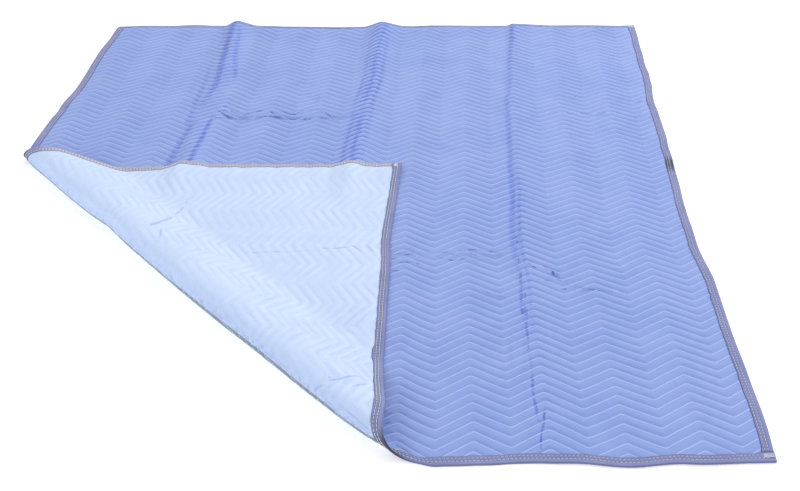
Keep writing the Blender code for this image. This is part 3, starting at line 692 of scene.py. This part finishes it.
class Thread:
    """Many small stitches gathered into one mesh."""

    def __init__(self):
        self.points = []
        self.faces = []
        self.count = 0

    def stitch(self, start, end, up, radius):
        """A low rounded bar from start to end, pinched at both ends."""
        run = end - start
        length = np.linalg.norm(run, axis=1, keepdims=True)
        run = run / length
        side = np.cross(up, run)
        side = side / np.linalg.norm(side, axis=1, keepdims=True)
        number = len(start)
        rings = []
        for share, wide, high in ((0.12, 0.9, 0.7), (0.88, 0.9, 0.7)):
            middle = start + (end - start) * share
            rings.append(middle - side * radius * wide)
            rings.append(middle + up * radius * 1.5 * high)
            rings.append(middle + side * radius * wide)
        tips = [start - up * radius * 0.3, end - up * radius * 0.3]
        block = np.stack(rings + tips, axis=1)
        base = self.count + 8 * np.arange(number)[:, None]
        pattern = ((0, 3, 4), (0, 4, 1), (1, 4, 5), (1, 5, 2), (6, 0, 1), (6, 1, 2), (7, 4, 3), (7, 5, 4))
        self.points.append(block.reshape(-1, 3))
        for triangle in pattern:
            self.faces.append(base + np.array(triangle)[None, :])
        self.count += 8 * number

    def mesh(self, name, material):
        points = np.concatenate(self.points)
        points[:, 2] = np.maximum(points[:, 2], -ORIGIN[2])
        faces = np.concatenate(self.faces)
        return mesh_object(name, points, faces.tolist(), material)


def stitches_on(line, ups, length, gap):
    """Split a line of points into stitches of even length; returns starts, ends and the way up."""
    steps = np.linalg.norm(np.diff(line, axis=0), axis=1)
    travel = np.concatenate(([0.0], np.cumsum(steps)))
    starts = np.arange(0.0, travel[-1] - length, length + gap)
    ends = starts + length

    def at(places, values):
        return np.stack([np.interp(places, travel, values[:, axis]) for axis in range(3)], axis=1)

    up = at(0.5 * (starts + ends), ups)
    up = up / np.linalg.norm(up, axis=1, keepdims=True)
    return at(starts, line), at(ends, line), up


def quilt_thread(name, s, t, heights, shares, material, length, outward, keep):
    """Stitches along every row that keep() lets through."""
    thread = Thread()
    rim = BINDING_WIDTH - LIP_SHORT - 0.001
    for row in np.flatnonzero(shares == 0.0):
        inside = (s[row] > rim) & (s[row] < WIDTH - rim) & (t[row] > rim) & (t[row] < LENGTH - rim) & keep(s[row], t[row])
        places = np.flatnonzero(inside)
        if len(places) < 2:
            continue
        for stretch in np.split(places, np.flatnonzero(np.diff(places) > 1) + 1):
            if len(stretch) < 2:
                continue
            line_s, line_t, line_h = s[row, stretch], t[row, stretch], heights[row, stretch]
            line = cloth(line_s, line_t, line_h + outward * 0.00005)
            ups = (cloth(line_s, line_t, line_h + outward * 0.001) - cloth(line_s, line_t, line_h)) / 0.001
            start, end, up = stitches_on(line, ups, length, STITCH_GAP)
            if len(start):
                thread.stitch(start, end, up, STITCH_RADIUS)
    return thread.mesh(name, material)


def binding_section():
    """The C-shaped section as insets and heights, outside from lip to lip and then inside back."""
    outside = [(inset, BINDING_TOP) for inset in
               (0.0250, 0.0236, 0.0208, 0.0195, 0.0182, 0.0152, 0.0123, 0.0110, 0.0097, 0.0070, 0.0040)]
    middle = BINDING_TOP / 2
    for degrees in (90, 60, 30, 0, -30, -60, -90):
        angle = math.radians(degrees)
        outside.append((middle - middle * math.cos(angle), middle + middle * math.sin(angle)))
    outside += [(inset, 0.0) for inset in
                (0.0040, 0.0070, 0.0097, 0.0110, 0.0123, 0.0152, 0.0182, 0.0195, 0.0208, 0.0236, 0.0250)]
    inside = [(0.0250, BINDING_CLOTH), (0.0130, BINDING_CLOTH), (BINDING_CLOTH, BINDING_CLOTH),
              (BINDING_CLOTH, BINDING_TOP - BINDING_CLOTH), (0.0130, BINDING_TOP - BINDING_CLOTH),
              (0.0250, BINDING_TOP - BINDING_CLOTH)]
    return np.array(outside), np.array(inside)


def binding_place(edge, place, inset):
    if edge == "near":
        return place, inset
    if edge == "far":
        return place, LENGTH - inset
    if edge == "left":
        return inset, place
    return WIDTH - inset, place


def binding_relief(place, inset, height):
    """Dents at the two stitch rows, soft swelling between them and small puckers along the strip."""
    rows = sum(np.exp(-((inset - row) / 0.0011) ** 2) for row in STITCH_ROWS)
    swell = np.exp(-((inset - 0.0141) / 0.0022) ** 2) + 0.9 * np.exp(-((inset - 0.0055) / 0.0035) ** 2)
    pucker = 1 + 0.45 * np.sin(place * 2 * math.pi / 0.0105) * np.sin(place * 2 * math.pi / 0.083 + 1.0)
    amount = 0.0006 * swell * pucker - 0.0004 * rows
    return amount


def make_binding(name, edge, first, last, material):
    outside, inside = binding_section()
    stations = np.linspace(first, last, int(round((last - first) / BINDING_STEP)) + 1)
    ring = np.concatenate((outside, inside))
    place = stations[:, None] + 0 * ring[None, :, 0]
    inset = ring[None, :, 0] + 0 * place
    height = ring[None, :, 1] + 0 * place
    outer = np.arange(len(ring)) < len(outside)
    lip_wave = 0.0007 * waves(stations, 0 * stations, ((0.043, 0, 0.3, 0.5), (0.097, 0, 1.3, 0.6), (0.019, 0, 2.2, 0.35)))
    if edge == "near":
        lip_wave = lip_wave + 0.0048 * np.exp(-((stations - TUCK_PLACE) / 0.024) ** 4)
    lip_wave = lip_wave - LIP_SHORT * smooth_step(stations, 0.026, 0.040) * smooth_step(last - stations, 0.026, 0.040)
    lip_share = smooth_step(inset, 0.018, 0.025)
    relief = binding_relief(place, inset, height)
    s, t = binding_place(edge, place, inset)
    turned = turned_share(s, t)
    top = outer[None, :] & (height > BINDING_TOP - 1e-6)
    bottom = outer[None, :] & (height < 1e-6)
    height = height + np.where(top, relief, 0.0) - np.where(bottom, np.where(relief < 0, relief, relief * turned), 0.0)
    flat = np.stack((place.ravel(), inset.ravel()), axis=1)
    inset = inset + lip_share * lip_wave[:, None]
    s, t = binding_place(edge, place, inset)
    points = cloth(s.ravel(), t.ravel(), height.ravel())
    size = len(ring)
    faces = []
    forward = edge in ("near", "right")
    for station in range(len(stations) - 1):
        for corner in range(size):
            following = (corner + 1) % size
            quad = [station * size + corner, station * size + following,
                    (station + 1) * size + following, (station + 1) * size + corner]
            faces.append(quad if forward else quad[::-1])
    start_cap = list(range(size))[::-1]
    end_cap = [(len(stations) - 1) * size + corner for corner in range(size)]
    faces += [start_cap, end_cap] if forward else [start_cap[::-1], end_cap[::-1]]
    return mesh_object(name, points, faces, material, flat)


def sew_binding(thread, edge, first, last):
    """Two rows of stitches on the upper and the under side of one strip."""
    places = np.arange(first + 0.004, last - 0.003, 0.004)
    for inset in STITCH_ROWS:
        for height, outward in ((BINDING_TOP - 0.0003, 1), (0.0004, -1)):
            s, t = binding_place(edge, places, inset + 0.0003 * np.sin(places * 41 + inset * 900))
            line = cloth(s, t, height + 0 * places)
            ups = (cloth(s, t, height + outward * 0.001 + 0 * places) - line) / 0.001
            if outward > 0:
                start, end, up = stitches_on(line, ups, 0.0066, 0.0014)
                thread.stitch(start, end, up, 0.00075)
            else:
                start, end, up = stitches_on(line, ups, 0.0085, 0.0004)
                thread.stitch(start, end, up, 0.00110)


def bar_tack(thread, place_s, place_t, length, depth, across_s, top):
    """A close zigzag of thread that holds a corner of the binding."""
    height = BINDING_TOP + 0.0004 if top else -0.0002
    outward = 1 if top else -1
    for strand in range(3):
        offset = (strand - 1) * depth / 3
        count = 15
        run = np.linspace(-length / 2, length / 2, count)
        aside = offset + depth / 10 * np.where(np.arange(count) % 2 == 0, 1, -1)
        s, t = (place_s + run, place_t + aside) if across_s else (place_s + aside, place_t + run)
        line = cloth(s, t, height + 0 * s)
        ups = (cloth(s, t, height + outward * 0.001 + 0 * s) - line) / 0.001
        up = ups[:-1] / np.linalg.norm(ups[:-1], axis=1, keepdims=True)
        thread.stitch(line[:-1], line[1:], up, 0.00090)


class Shader:
    """Small helper for node materials."""

    def __init__(self, name, roughness, sheen):
        self.material = bpy.data.materials.new(name)
        self.material.use_nodes = True
        self.nodes = self.material.node_tree.nodes
        self.links = self.material.node_tree.links
        self.main = self.nodes["Principled BSDF"]
        self.main.inputs["Roughness"].default_value = roughness
        self.main.inputs["Sheen Weight"].default_value = sheen
        self.main.inputs["Sheen Roughness"].default_value = 0.5
        self.main.inputs["Specular IOR Level"].default_value = 0.25

    def put(self, socket, value):
        if isinstance(value, bpy.types.NodeSocket):
            self.links.new(value, socket)
        else:
            socket.default_value = value

    def math(self, operation, first, second=0.0, third=0.0):
        node = self.nodes.new("ShaderNodeMath")
        node.operation = operation
        for socket, value in zip(node.inputs, (first, second, third)):
            self.put(socket, value)
        return node.outputs[0]

    def ramp(self, value, low, high, start=0.0, end=1.0):
        node = self.nodes.new("ShaderNodeMapRange")
        node.interpolation_type = "SMOOTHSTEP"
        self.put(node.inputs["Value"], value)
        for name, number in (("From Min", low), ("From Max", high), ("To Min", start), ("To Max", end)):
            node.inputs[name].default_value = number
        return node.outputs["Result"]

    def noise(self, vector, scale, detail=2.0, rough=0.5):
        node = self.nodes.new("ShaderNodeTexNoise")
        self.put(node.inputs["Vector"], vector)
        node.inputs["Scale"].default_value = scale
        node.inputs["Detail"].default_value = detail
        node.inputs["Roughness"].default_value = rough
        return node.outputs[0]

    def mix(self, share, first, second, blend="MIX"):
        node = self.nodes.new("ShaderNodeMix")
        node.data_type = "RGBA"
        node.blend_type = blend
        self.put(node.inputs[0], share)
        self.put(node.inputs[6], first)
        self.put(node.inputs[7], second)
        return node.outputs[2]

    def bump(self, height, strength, distance, normal=None):
        node = self.nodes.new("ShaderNodeBump")
        node.inputs["Strength"].default_value = strength
        node.inputs["Distance"].default_value = distance
        self.put(node.inputs["Height"], height)
        if normal is not None:
            self.put(node.inputs["Normal"], normal)
        return node.outputs[0]

    def flat(self):
        node = self.nodes.new("ShaderNodeUVMap")
        node.uv_map = "flat"
        split = self.nodes.new("ShaderNodeSeparateXYZ")
        self.links.new(node.outputs[0], split.inputs[0])
        return node.outputs[0], split.outputs[0], split.outputs[1]

    def curve(self, value, marks, base, span):
        """Look a number up in a table of straight runs; the value is in metres along the cloth."""
        node = self.nodes.new("ShaderNodeFloatCurve")
        self.put(node.inputs["Value"], self.math("DIVIDE", value, CLOTH_REACH))
        points = node.mapping.curves[0].points
        levels = [(place / CLOTH_REACH, (level - base) / span) for place, level in marks]
        points[0].location = (0.0, levels[0][1])
        points[1].location = (1.0, levels[-1][1])
        for level in levels:
            points.new(*level)
        for point in points:
            point.handle_type = "VECTOR"
        node.mapping.update()
        return self.math("MULTIPLY_ADD", node.outputs[0], span, base)

    def strokes(self, uv, table):
        """Short soft marks, each a long narrow oval from its start to its end."""
        total = None
        for stroke in table:
            run_s = stroke.end_s - stroke.start_s
            run_t = stroke.end_t - stroke.start_t
            place = self.nodes.new("ShaderNodeMapping")
            place.vector_type = "TEXTURE"
            self.put(place.inputs["Vector"], uv)
            place.inputs["Location"].default_value = (stroke.start_s + run_s / 2, stroke.start_t + run_t / 2, 0.0)
            place.inputs["Rotation"].default_value = (0.0, 0.0, math.atan2(run_t, run_s))
            place.inputs["Scale"].default_value = (0.80 * math.hypot(run_s, run_t), stroke.width, 1.0)
            oval = self.nodes.new("ShaderNodeTexGradient")
            oval.gradient_type = "SPHERICAL"
            self.put(oval.inputs["Vector"], place.outputs[0])
            total = self.math("MULTIPLY_ADD", oval.outputs["Fac"], stroke.strength, 0.0 if total is None else total)
        return self.ramp(total, 0.05, 0.50)

    def object_place(self):
        node = self.nodes.new("ShaderNodeTexCoord")
        return node.outputs["Object"]


def row_place(shader, s, t):
    """Place between two lines of quilting stitches, 0 to 1, and the distance from the nearest, 0 to 0.5."""
    drifted = shader.math("MULTIPLY_ADD", t, SIDE_DRIFT, s)
    phase = shader.math("DIVIDE", shader.math("SUBTRACT", drifted, FIRST_POINT), WAVE_LENGTH)
    off_point = shader.math("PINGPONG", phase, 0.5)
    off_tip = shader.math("MINIMUM", off_point, shader.math("SUBTRACT", 0.5, off_point))
    squared = shader.math("MULTIPLY_ADD", off_tip, off_tip, TIP_ROUNDING ** 2)
    climb = shader.math("SUBTRACT", MIDDLE_ROOT, shader.math("SQRT", squared))
    side = shader.math("MULTIPLY_ADD", shader.math("GREATER_THAN", off_point, 0.25), 2.0, -1.0)
    zig = shader.math("MULTIPLY", shader.math("MULTIPLY", climb, side), 2 * WAVE_DEPTH)
    row = shader.math("SUBTRACT", shader.math("SUBTRACT", t, zig), ROW_START)
    row = shader.math("DIVIDE", row, ROW_PITCH)
    falling = shader.ramp(shader.math("FRACT", phase), 0.44, 0.56)
    return shader.math("FRACT", row), shader.math("PINGPONG", row, 0.5), falling


def weave(shader, first, second, pitch):
    """Height of a plain weave from two coordinates in metres."""
    over = shader.math("SINE", shader.math("MULTIPLY", first, 2 * math.pi / pitch))
    under = shader.math("SINE", shader.math("MULTIPLY", second, 2 * math.pi / pitch))
    return shader.math("MULTIPLY", over, under)


def painted_crease_shade(shader, uv, s, t, share, distance):
    """Painted shade: dark lines and dashes along the packing creases, and the feathered rows beside them darkened."""
    patchy = shader.ramp(shader.noise(uv, 75.0, 2.0), 0.36, 0.56, 0.50, 1.0)
    on_crown = shader.ramp(distance, 0.10, 0.32)
    crease_shade = 0.0
    for trough in TROUGHS_AWAY:
        sides = [mark.s for mark in trough.path]
        first, last = trough.path[0].t, trough.path[-1].t
        strengths = [(first - 0.01, 0.0)] + [(mark.t, mark.strength) for mark in trough.path] + [(last + 0.01, 0.0)]
        middle = shader.curve(t, [(mark.t, mark.s) for mark in trough.path], min(sides) - 0.01, max(sides) - min(sides) + 0.02)
        strength = shader.curve(t, strengths, 0.0, 1.0)
        aside = shader.math("ABSOLUTE", shader.math("SUBTRACT", s, middle))
        line = shader.math("MULTIPLY", shader.ramp(aside, 0.2 * trough.half_width, 1.6 * trough.half_width, 1.0, 0.0), strength)
        gaps = shader.math("MULTIPLY_ADD", on_crown, -trough.dashed, 1.0)
        crease_shade = shader.math("MAXIMUM", crease_shade, shader.math("MULTIPLY", line, gaps))
    crease_shade = shader.math("MULTIPLY", crease_shade, patchy)
    feather_shade = 0.0
    for ridge in RIDGES:
        sides = [mark.s for mark in ridge.path]
        middle = shader.curve(t, [(mark.t, mark.s) for mark in ridge.path], min(sides) - 0.01, max(sides) - min(sides) + 0.02)
        aside = shader.math("ABSOLUTE", shader.math("SUBTRACT", s, middle))
        feather_shade = shader.math("MAXIMUM", feather_shade, shader.ramp(aside, 0.006, 0.046, ridge.feather, 0.0))
    barbs = shader.math("MULTIPLY", shader.ramp(share, 0.02, 0.14), shader.ramp(share, 0.26, 0.48, 1.0, 0.0))
    feather_shade = shader.math("MULTIPLY", shader.math("MULTIPLY", feather_shade, barbs), patchy)
    return crease_shade, feather_shade


def face_material():
    shader = Shader("blue_face_cloth", 0.82, 0.18)
    uv, s, t = shader.flat()
    share, distance, falling = row_place(shader, s, t)
    broad = shader.noise(uv, 3.0, 2.0)
    cloudy = shader.noise(uv, 26.0, 3.0)
    fuzz = shader.noise(uv, 900.0, 2.0, 0.7)
    blue = shader.mix(shader.ramp(broad, 0.35, 0.65), (0.245, 0.347, 0.722, 1), (0.274, 0.374, 0.738, 1))
    blue = shader.mix(shader.ramp(cloudy, 0.40, 0.72, 0.0, 0.45), blue, (0.300, 0.388, 0.730, 1))
    blue = shader.mix(shader.ramp(fuzz, 0.35, 0.75, 0.0, 0.30), blue, (0.198, 0.285, 0.648, 1))
    blotches = shader.noise(uv, 13.0, 3.0)
    blue = shader.mix(shader.ramp(blotches, 0.50, 0.72, 0.0, 0.45), blue, (0.205, 0.292, 0.668, 1))
    blue = shader.mix(shader.ramp(blotches, 0.46, 0.28, 0.0, 0.35), blue, (0.315, 0.410, 0.765, 1))
    smooth = shader.strokes(uv, SMOOTH_PATCHES)
    calm = shader.math("MULTIPLY_ADD", smooth, -0.85, 1.0)
    # Painted shade: a darker band on one side of each stitch line, stronger on the falling legs of the zigzag
    row_shade = shader.math("MULTIPLY", shader.ramp(share, 0.03, 0.14), shader.ramp(share, 0.20, 0.55, 1.0, 0.0))
    row_shade = shader.math("MULTIPLY", row_shade, shader.math("MULTIPLY_ADD", falling, 0.24, 0.10))
    row_shade = shader.math("MULTIPLY", row_shade, calm)
    blue = shader.mix(row_shade, blue, (0.180, 0.262, 0.640, 1))
    # Painted shade along the packing creases and on the rows beside them
    crease_shade, feather_shade = painted_crease_shade(shader, uv, s, t, share, distance)
    # Painted shade: short dark strokes where the cross creases pinch the face, broken up by noise
    broken = shader.ramp(shader.noise(uv, 95.0, 2.0), 0.40, 0.58, 0.35, 1.0)
    strokes = shader.math("MULTIPLY", shader.strokes(uv, FACE_CREASE_SHADE), broken)
    blue = shader.mix(shader.math("MULTIPLY", feather_shade, 0.90), blue, (0.118, 0.185, 0.620, 1))
    blue = shader.mix(crease_shade, blue, (0.108, 0.172, 0.630, 1))
    blue = shader.mix(shader.math("MULTIPLY", strokes, 0.90), blue, (0.098, 0.145, 0.510, 1))
    # A pale band along each stitch line: the thread's own colour, widened by a painted highlight
    thread_band_and_highlight = shader.ramp(distance, 0.028, 0.066, 0.80, 0.0)
    thread_band_and_highlight = shader.math("MULTIPLY", thread_band_and_highlight, shader.math("MULTIPLY_ADD", crease_shade, -0.8, 1.0))
    thread_band_and_highlight = shader.math("MULTIPLY", thread_band_and_highlight, calm)
    thread_band_and_highlight = shader.math("MULTIPLY", thread_band_and_highlight, shader.ramp(t, 0.9, 1.8, 1.0, 0.60))
    blue = shader.mix(thread_band_and_highlight, blue, (0.455, 0.550, 0.920, 1))
    shader.put(shader.main.inputs["Base Color"], blue)
    normal = shader.bump(cloudy, 0.25, 0.004)
    normal = shader.bump(shader.ramp(distance, 0.0, 0.22), 0.45, 0.0012, normal)
    normal = shader.bump(weave(shader, s, t, 0.0021), 0.25, 0.00025, normal)
    normal = shader.bump(fuzz, 0.25, 0.0004, normal)
    shader.put(shader.main.inputs["Normal"], normal)
    shader.put(shader.main.inputs["Roughness"], shader.ramp(fuzz, 0.3, 0.7, 0.76, 0.90))
    return shader.material


def back_material():
    shader = Shader("pale_backing_cloth", 0.85, 0.15)
    uv, s, t = shader.flat()
    share, distance, falling = row_place(shader, s, t)
    broad = shader.noise(uv, 4.0, 2.0)
    cloudy = shader.noise(uv, 34.0, 3.0)
    fuzz = shader.noise(uv, 800.0, 2.0, 0.7)
    pale = shader.mix(shader.ramp(broad, 0.35, 0.65), (0.565, 0.690, 0.925, 1), (0.612, 0.722, 0.935, 1))
    pale = shader.mix(shader.ramp(cloudy, 0.35, 0.70, 0.0, 0.5), pale, (0.530, 0.665, 0.920, 1))
    pale = shader.mix(shader.ramp(fuzz, 0.35, 0.75, 0.0, 0.25), pale, (0.490, 0.620, 0.880, 1))
    # Painted shade along the stitch lines and a painted highlight on the crowns between them, both patchy
    patchy = shader.ramp(shader.noise(uv, 9.0, 2.0), 0.38, 0.62, 0.15, 1.0)
    line = shader.math("MULTIPLY", shader.ramp(distance, 0.03, 0.14, 0.46, 0.0), patchy)
    pale = shader.mix(line, pale, (0.440, 0.570, 0.900, 1))
    crown_highlight = shader.math("MULTIPLY", shader.ramp(distance, 0.22, 0.44, 0.0, 0.36), patchy)
    pale = shader.mix(crown_highlight, pale, (0.700, 0.800, 0.960, 1))
    # Painted shade low on the roll: a wide bluish shade, a patchy darker band and a thin dark line, all by the run from
    # the roll's start
    reach = shader.math("MULTIPLY", shader.math("ADD", s, t), 1 / ROOT_2)
    run = shader.math("MULTIPLY_ADD", reach, -1.0, ROLL_START)
    roll_limb_shade = shader.math("MULTIPLY", shader.ramp(run, 0.030, 0.044), shader.ramp(run, 0.049, 0.074, 1.0, 0.0))
    roll_limb_shade = shader.math("MULTIPLY", roll_limb_shade, shader.ramp(shader.noise(uv, 70.0, 2.0), 0.40, 0.62, 0.35, 0.85))
    shaded = shader.math("MULTIPLY", shader.ramp(run, 0.030, 0.044), shader.ramp(run, 0.060, 0.125, 0.55, 0.0))
    pale = shader.mix(shaded, pale, (0.500, 0.640, 0.960, 1))
    pale = shader.mix(roll_limb_shade, pale, (0.350, 0.460, 0.720, 1))
    roll_edge_shade = shader.math("MULTIPLY", shader.ramp(run, 0.020, 0.036), shader.ramp(run, 0.0440, 0.0480, 0.85, 0.0))
    pale = shader.mix(roll_edge_shade, pale, (0.150, 0.170, 0.230, 1))
    # Painted shade: blue bands on one side of the rows on the turned-over corner
    flap_row_shade = shader.math("MULTIPLY", shader.strokes(uv, FLAP_ROW_SHADE_PLACES), shader.math("MULTIPLY", shader.ramp(share, 0.04, 0.22), shader.ramp(share, 0.34, 0.62, 1.0, 0.0)))
    flap_row_shade = shader.math("MULTIPLY", flap_row_shade, shader.ramp(shader.noise(uv, 22.0, 2.0), 0.38, 0.60, 0.35, 1.0))
    pale = shader.mix(shader.math("MULTIPLY", flap_row_shade, 0.50), pale, (0.420, 0.540, 0.900, 1))
    # Painted shade of thin wrinkles
    wrinkle_shade = shader.strokes(uv, FLAP_WRINKLE_SHADE)
    pale = shader.mix(shader.math("MULTIPLY", wrinkle_shade, 0.6), pale, (0.330, 0.430, 0.740, 1))
    shader.put(shader.main.inputs["Base Color"], pale)
    normal = shader.bump(cloudy, 0.30, 0.005)
    normal = shader.bump(weave(shader, s, t, 0.0024), 0.25, 0.00025, normal)
    normal = shader.bump(fuzz, 0.25, 0.0004, normal)
    shader.put(shader.main.inputs["Normal"], normal)
    shader.put(shader.main.inputs["Roughness"], shader.ramp(fuzz, 0.3, 0.7, 0.80, 0.92))
    return shader.material


def binding_material(name, faded_to, turned_to):
    """Binding cloth: painted shade round the roll and beside the stitch rows, faded up to one place and turned over up
    to another.
    """
    shader = Shader(name, 0.78, 0.12)
    uv, place, inset = shader.flat()
    broad = shader.noise(uv, 9.0, 2.0)
    fuzz = shader.noise(uv, 1100.0, 2.0, 0.7)
    grey = shader.mix(shader.ramp(broad, 0.35, 0.65), (0.200, 0.240, 0.510, 1), (0.248, 0.288, 0.550, 1))
    twill = shader.math("SINE", shader.math("MULTIPLY", shader.math("ADD", place, inset), 2 * math.pi / 0.0017))
    grey = shader.mix(shader.ramp(twill, -0.6, 0.9, 0.0, 0.35), grey, (0.330, 0.360, 0.580, 1))
    grey = shader.mix(shader.ramp(fuzz, 0.35, 0.75, 0.0, 0.35), grey, (0.150, 0.160, 0.340, 1))
    edge = shader.ramp(inset, 0.0005, 0.0035, 0.55, 0.0)
    grey = shader.mix(edge, grey, (0.100, 0.100, 0.190, 1))
    # Painted shadow: a dark line along the inner lip where the strip meets the panel
    lip = shader.ramp(inset, 0.0229, 0.0248, 0.0, 0.75)
    grey = shader.mix(lip, grey, (0.075, 0.075, 0.150, 1))
    if faded_to > 0:
        faded = shader.math("MULTIPLY", shader.ramp(place, faded_to - 0.08, faded_to, 0.85, 0.0), shader.ramp(fuzz, 0.2, 0.6, 0.7, 1.0))
        grey = shader.mix(faded, grey, (0.490, 0.462, 0.565, 1))
    # Painted shade where the strip bends round the roll
    bend = shader.math("ABSOLUTE", shader.math("SUBTRACT", place, FOLD_PLACE))
    grey = shader.mix(shader.ramp(bend, 0.012, 0.055, 0.85, 0.0), grey, (0.035, 0.035, 0.060, 1))
    # Painted shade beside each stitch row, stronger where the strip is turned over
    groove_shade_strength = shader.ramp(place, turned_to - 0.02, turned_to + 0.02, 0.80, 0.50)
    for row in STITCH_ROWS:
        aside = shader.math("ABSOLUTE", shader.math("SUBTRACT", inset, row))
        groove_shade = shader.math("MULTIPLY", shader.ramp(aside, 0.0008, 0.0032), shader.math("MULTIPLY", groove_shade_strength, -1.0))
        groove_shade = shader.math("ADD", groove_shade, groove_shade_strength)
        grey = shader.mix(groove_shade, grey, (0.095, 0.095, 0.185, 1))
    shader.put(shader.main.inputs["Base Color"], grey)
    normal = shader.bump(twill, 0.35, 0.0003)
    normal = shader.bump(fuzz, 0.25, 0.0004, normal)
    shader.put(shader.main.inputs["Normal"], normal)
    shader.put(shader.main.inputs["Roughness"], shader.ramp(fuzz, 0.3, 0.7, 0.70, 0.86))
    return shader.material


def thread_material(name, light, dark):
    shader = Shader(name, 0.6, 0.1)
    place = shader.object_place()
    tone = shader.noise(place, 700.0, 2.0)
    drift = shader.noise(place, 5.0, 1.0)
    colour = shader.mix(shader.ramp(tone, 0.35, 0.70), light, dark)
    colour = shader.mix(shader.ramp(drift, 0.35, 0.70, 0.0, 0.4), colour, dark)
    shader.put(shader.main.inputs["Base Color"], colour)
    shader.put(shader.main.inputs["Normal"], shader.bump(tone, 0.3, 0.0003))
    return shader.material


def floor_material():
    shader = Shader("pale_floor", 0.7, 0.0)
    place = shader.object_place()
    tone = shader.noise(place, 3.0, 2.0)
    colour = shader.mix(shader.ramp(tone, 0.3, 0.7), (0.950, 0.950, 0.950, 1), (0.965, 0.965, 0.965, 1))
    shader.put(shader.main.inputs["Base Color"], colour)
    shader.main.inputs["Emission Color"].default_value = (1.0, 1.0, 1.0, 1.0)
    shader.main.inputs["Emission Strength"].default_value = 0.30
    return shader.material


def add_light(name, place, size, energy, colour=(1, 1, 1)):
    data = bpy.data.lights.new(name, "AREA")
    data.shape = "SQUARE"
    data.size = size
    data.energy = energy
    data.color = colour
    lamp = bpy.data.objects.new(name, data)
    lamp.location = place
    lamp.rotation_euler = (-Vector(place)).to_track_quat("-Z", "Y").to_euler()
    bpy.context.scene.collection.objects.link(lamp)


def build_stage():
    data = bpy.data.meshes.new("floor")
    side = 12.0
    data.from_pydata([(-side, -side, 0), (side, -side, 0), (side, side, 0), (-side, side, 0)], [], [(0, 1, 2, 3)])
    data.materials.append(floor_material())
    floor = bpy.data.objects.new("floor", data)
    bpy.context.scene.collection.objects.link(floor)
    world = bpy.data.worlds.new("studio")
    world.use_nodes = True
    background = world.node_tree.nodes["Background"]
    background.inputs["Color"].default_value = (1.0, 1.0, 1.0, 1.0)
    background.inputs["Strength"].default_value = 0.80
    bpy.context.scene.world = world
    bpy.context.scene.view_settings.view_transform = "Standard"
    add_light("key", (5.5, 3.0, 4.0), 3.0, 260)
    add_light("fill", (-3.4, -2.6, 1.8), 2.5, 30)


def build_camera():
    data = bpy.data.cameras.new("camera")
    data.lens = CAMERA_LENS
    data.sensor_width = 36.0
    data.shift_x = CAMERA_SHIFT
    camera = bpy.data.objects.new("camera", data)
    camera.location = CAMERA_PLACE
    camera.rotation_euler = (math.radians(CAMERA_TILT), 0.0, 0.0)
    bpy.context.scene.collection.objects.link(camera)
    bpy.context.scene.camera = camera


def main():
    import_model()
    build_camera()
    build_stage()

    face_cloth = face_material()
    back_cloth = back_material()
    edge_cloth = binding_material("grey_binding_cloth", 0.0, -0.1)
    near_cloth = binding_material("near_binding_cloth", 0.0, 1.08)
    faded_cloth = binding_material("faded_binding_cloth", 1.02, 1.08)
    face_thread = thread_material("face_thread", (0.600, 0.680, 0.960, 1), (0.470, 0.560, 0.910, 1))
    back_thread = thread_material("back_thread", (0.740, 0.800, 0.960, 1), (0.600, 0.680, 0.900, 1))
    edge_thread = thread_material("edge_thread", (0.860, 0.860, 0.910, 1), (0.680, 0.680, 0.780, 1))

    s, t, shares = quilt_grid()
    face_h = face_heights(s, t, shares)
    back_h = back_heights(s, t, shares)
    face = closed_sheet("panel_face", s, t, face_h, FACE_UNDER, face_cloth, facing_up=True)
    back = closed_sheet("panel_back", s, t, back_h, BACK_TOP, back_cloth, facing_up=False)

    inside = FLAP_SIDE - 0.01
    face_sewing = quilt_thread("stitching_face", s, t, face_h, shares, face_thread, FACE_STITCH_LENGTH, 1,
                               lambda s, t: (s > inside) | (t > inside))
    back_sewing = quilt_thread("stitching_back", s, t, back_h, shares, back_thread, BACK_STITCH_LENGTH, -1,
                               lambda s, t: s > -1)

    side_start = BINDING_WIDTH + PIECE_GAP
    strips = {
        "near": make_binding("edge_near", "near", 0.0, WIDTH, near_cloth),
        "far": make_binding("edge_far", "far", 0.0, WIDTH, edge_cloth),
        "left": make_binding("edge_left", "left", side_start, LENGTH - side_start, faded_cloth),
        "right": make_binding("edge_right", "right", side_start, LENGTH - side_start, edge_cloth),
    }
    thread = Thread()
    for edge, reach in (("near", WIDTH), ("far", WIDTH), ("left", LENGTH - side_start), ("right", LENGTH - side_start)):
        sew_binding(thread, edge, 0.0 if edge in ("near", "far") else side_start, reach)
    for corner_s in (0.012, WIDTH - 0.012):
        for corner_t in (0.016, LENGTH - 0.016):
            for top in (True, False):
                bar_tack(thread, corner_s, corner_t, 0.020, 0.009, True, top)
    edge_sewing = thread.mesh("stitching_edge", edge_thread)

    sheet_parts = list(strips.values()) + [edge_sewing]
    for piece in [face, back, face_sewing, back_sewing] + sheet_parts:
        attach(piece, "root")
    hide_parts("quilted_face")
    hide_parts("quilted_back")
    for edge, strip in strips.items():
        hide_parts("binding_" + edge)


main()
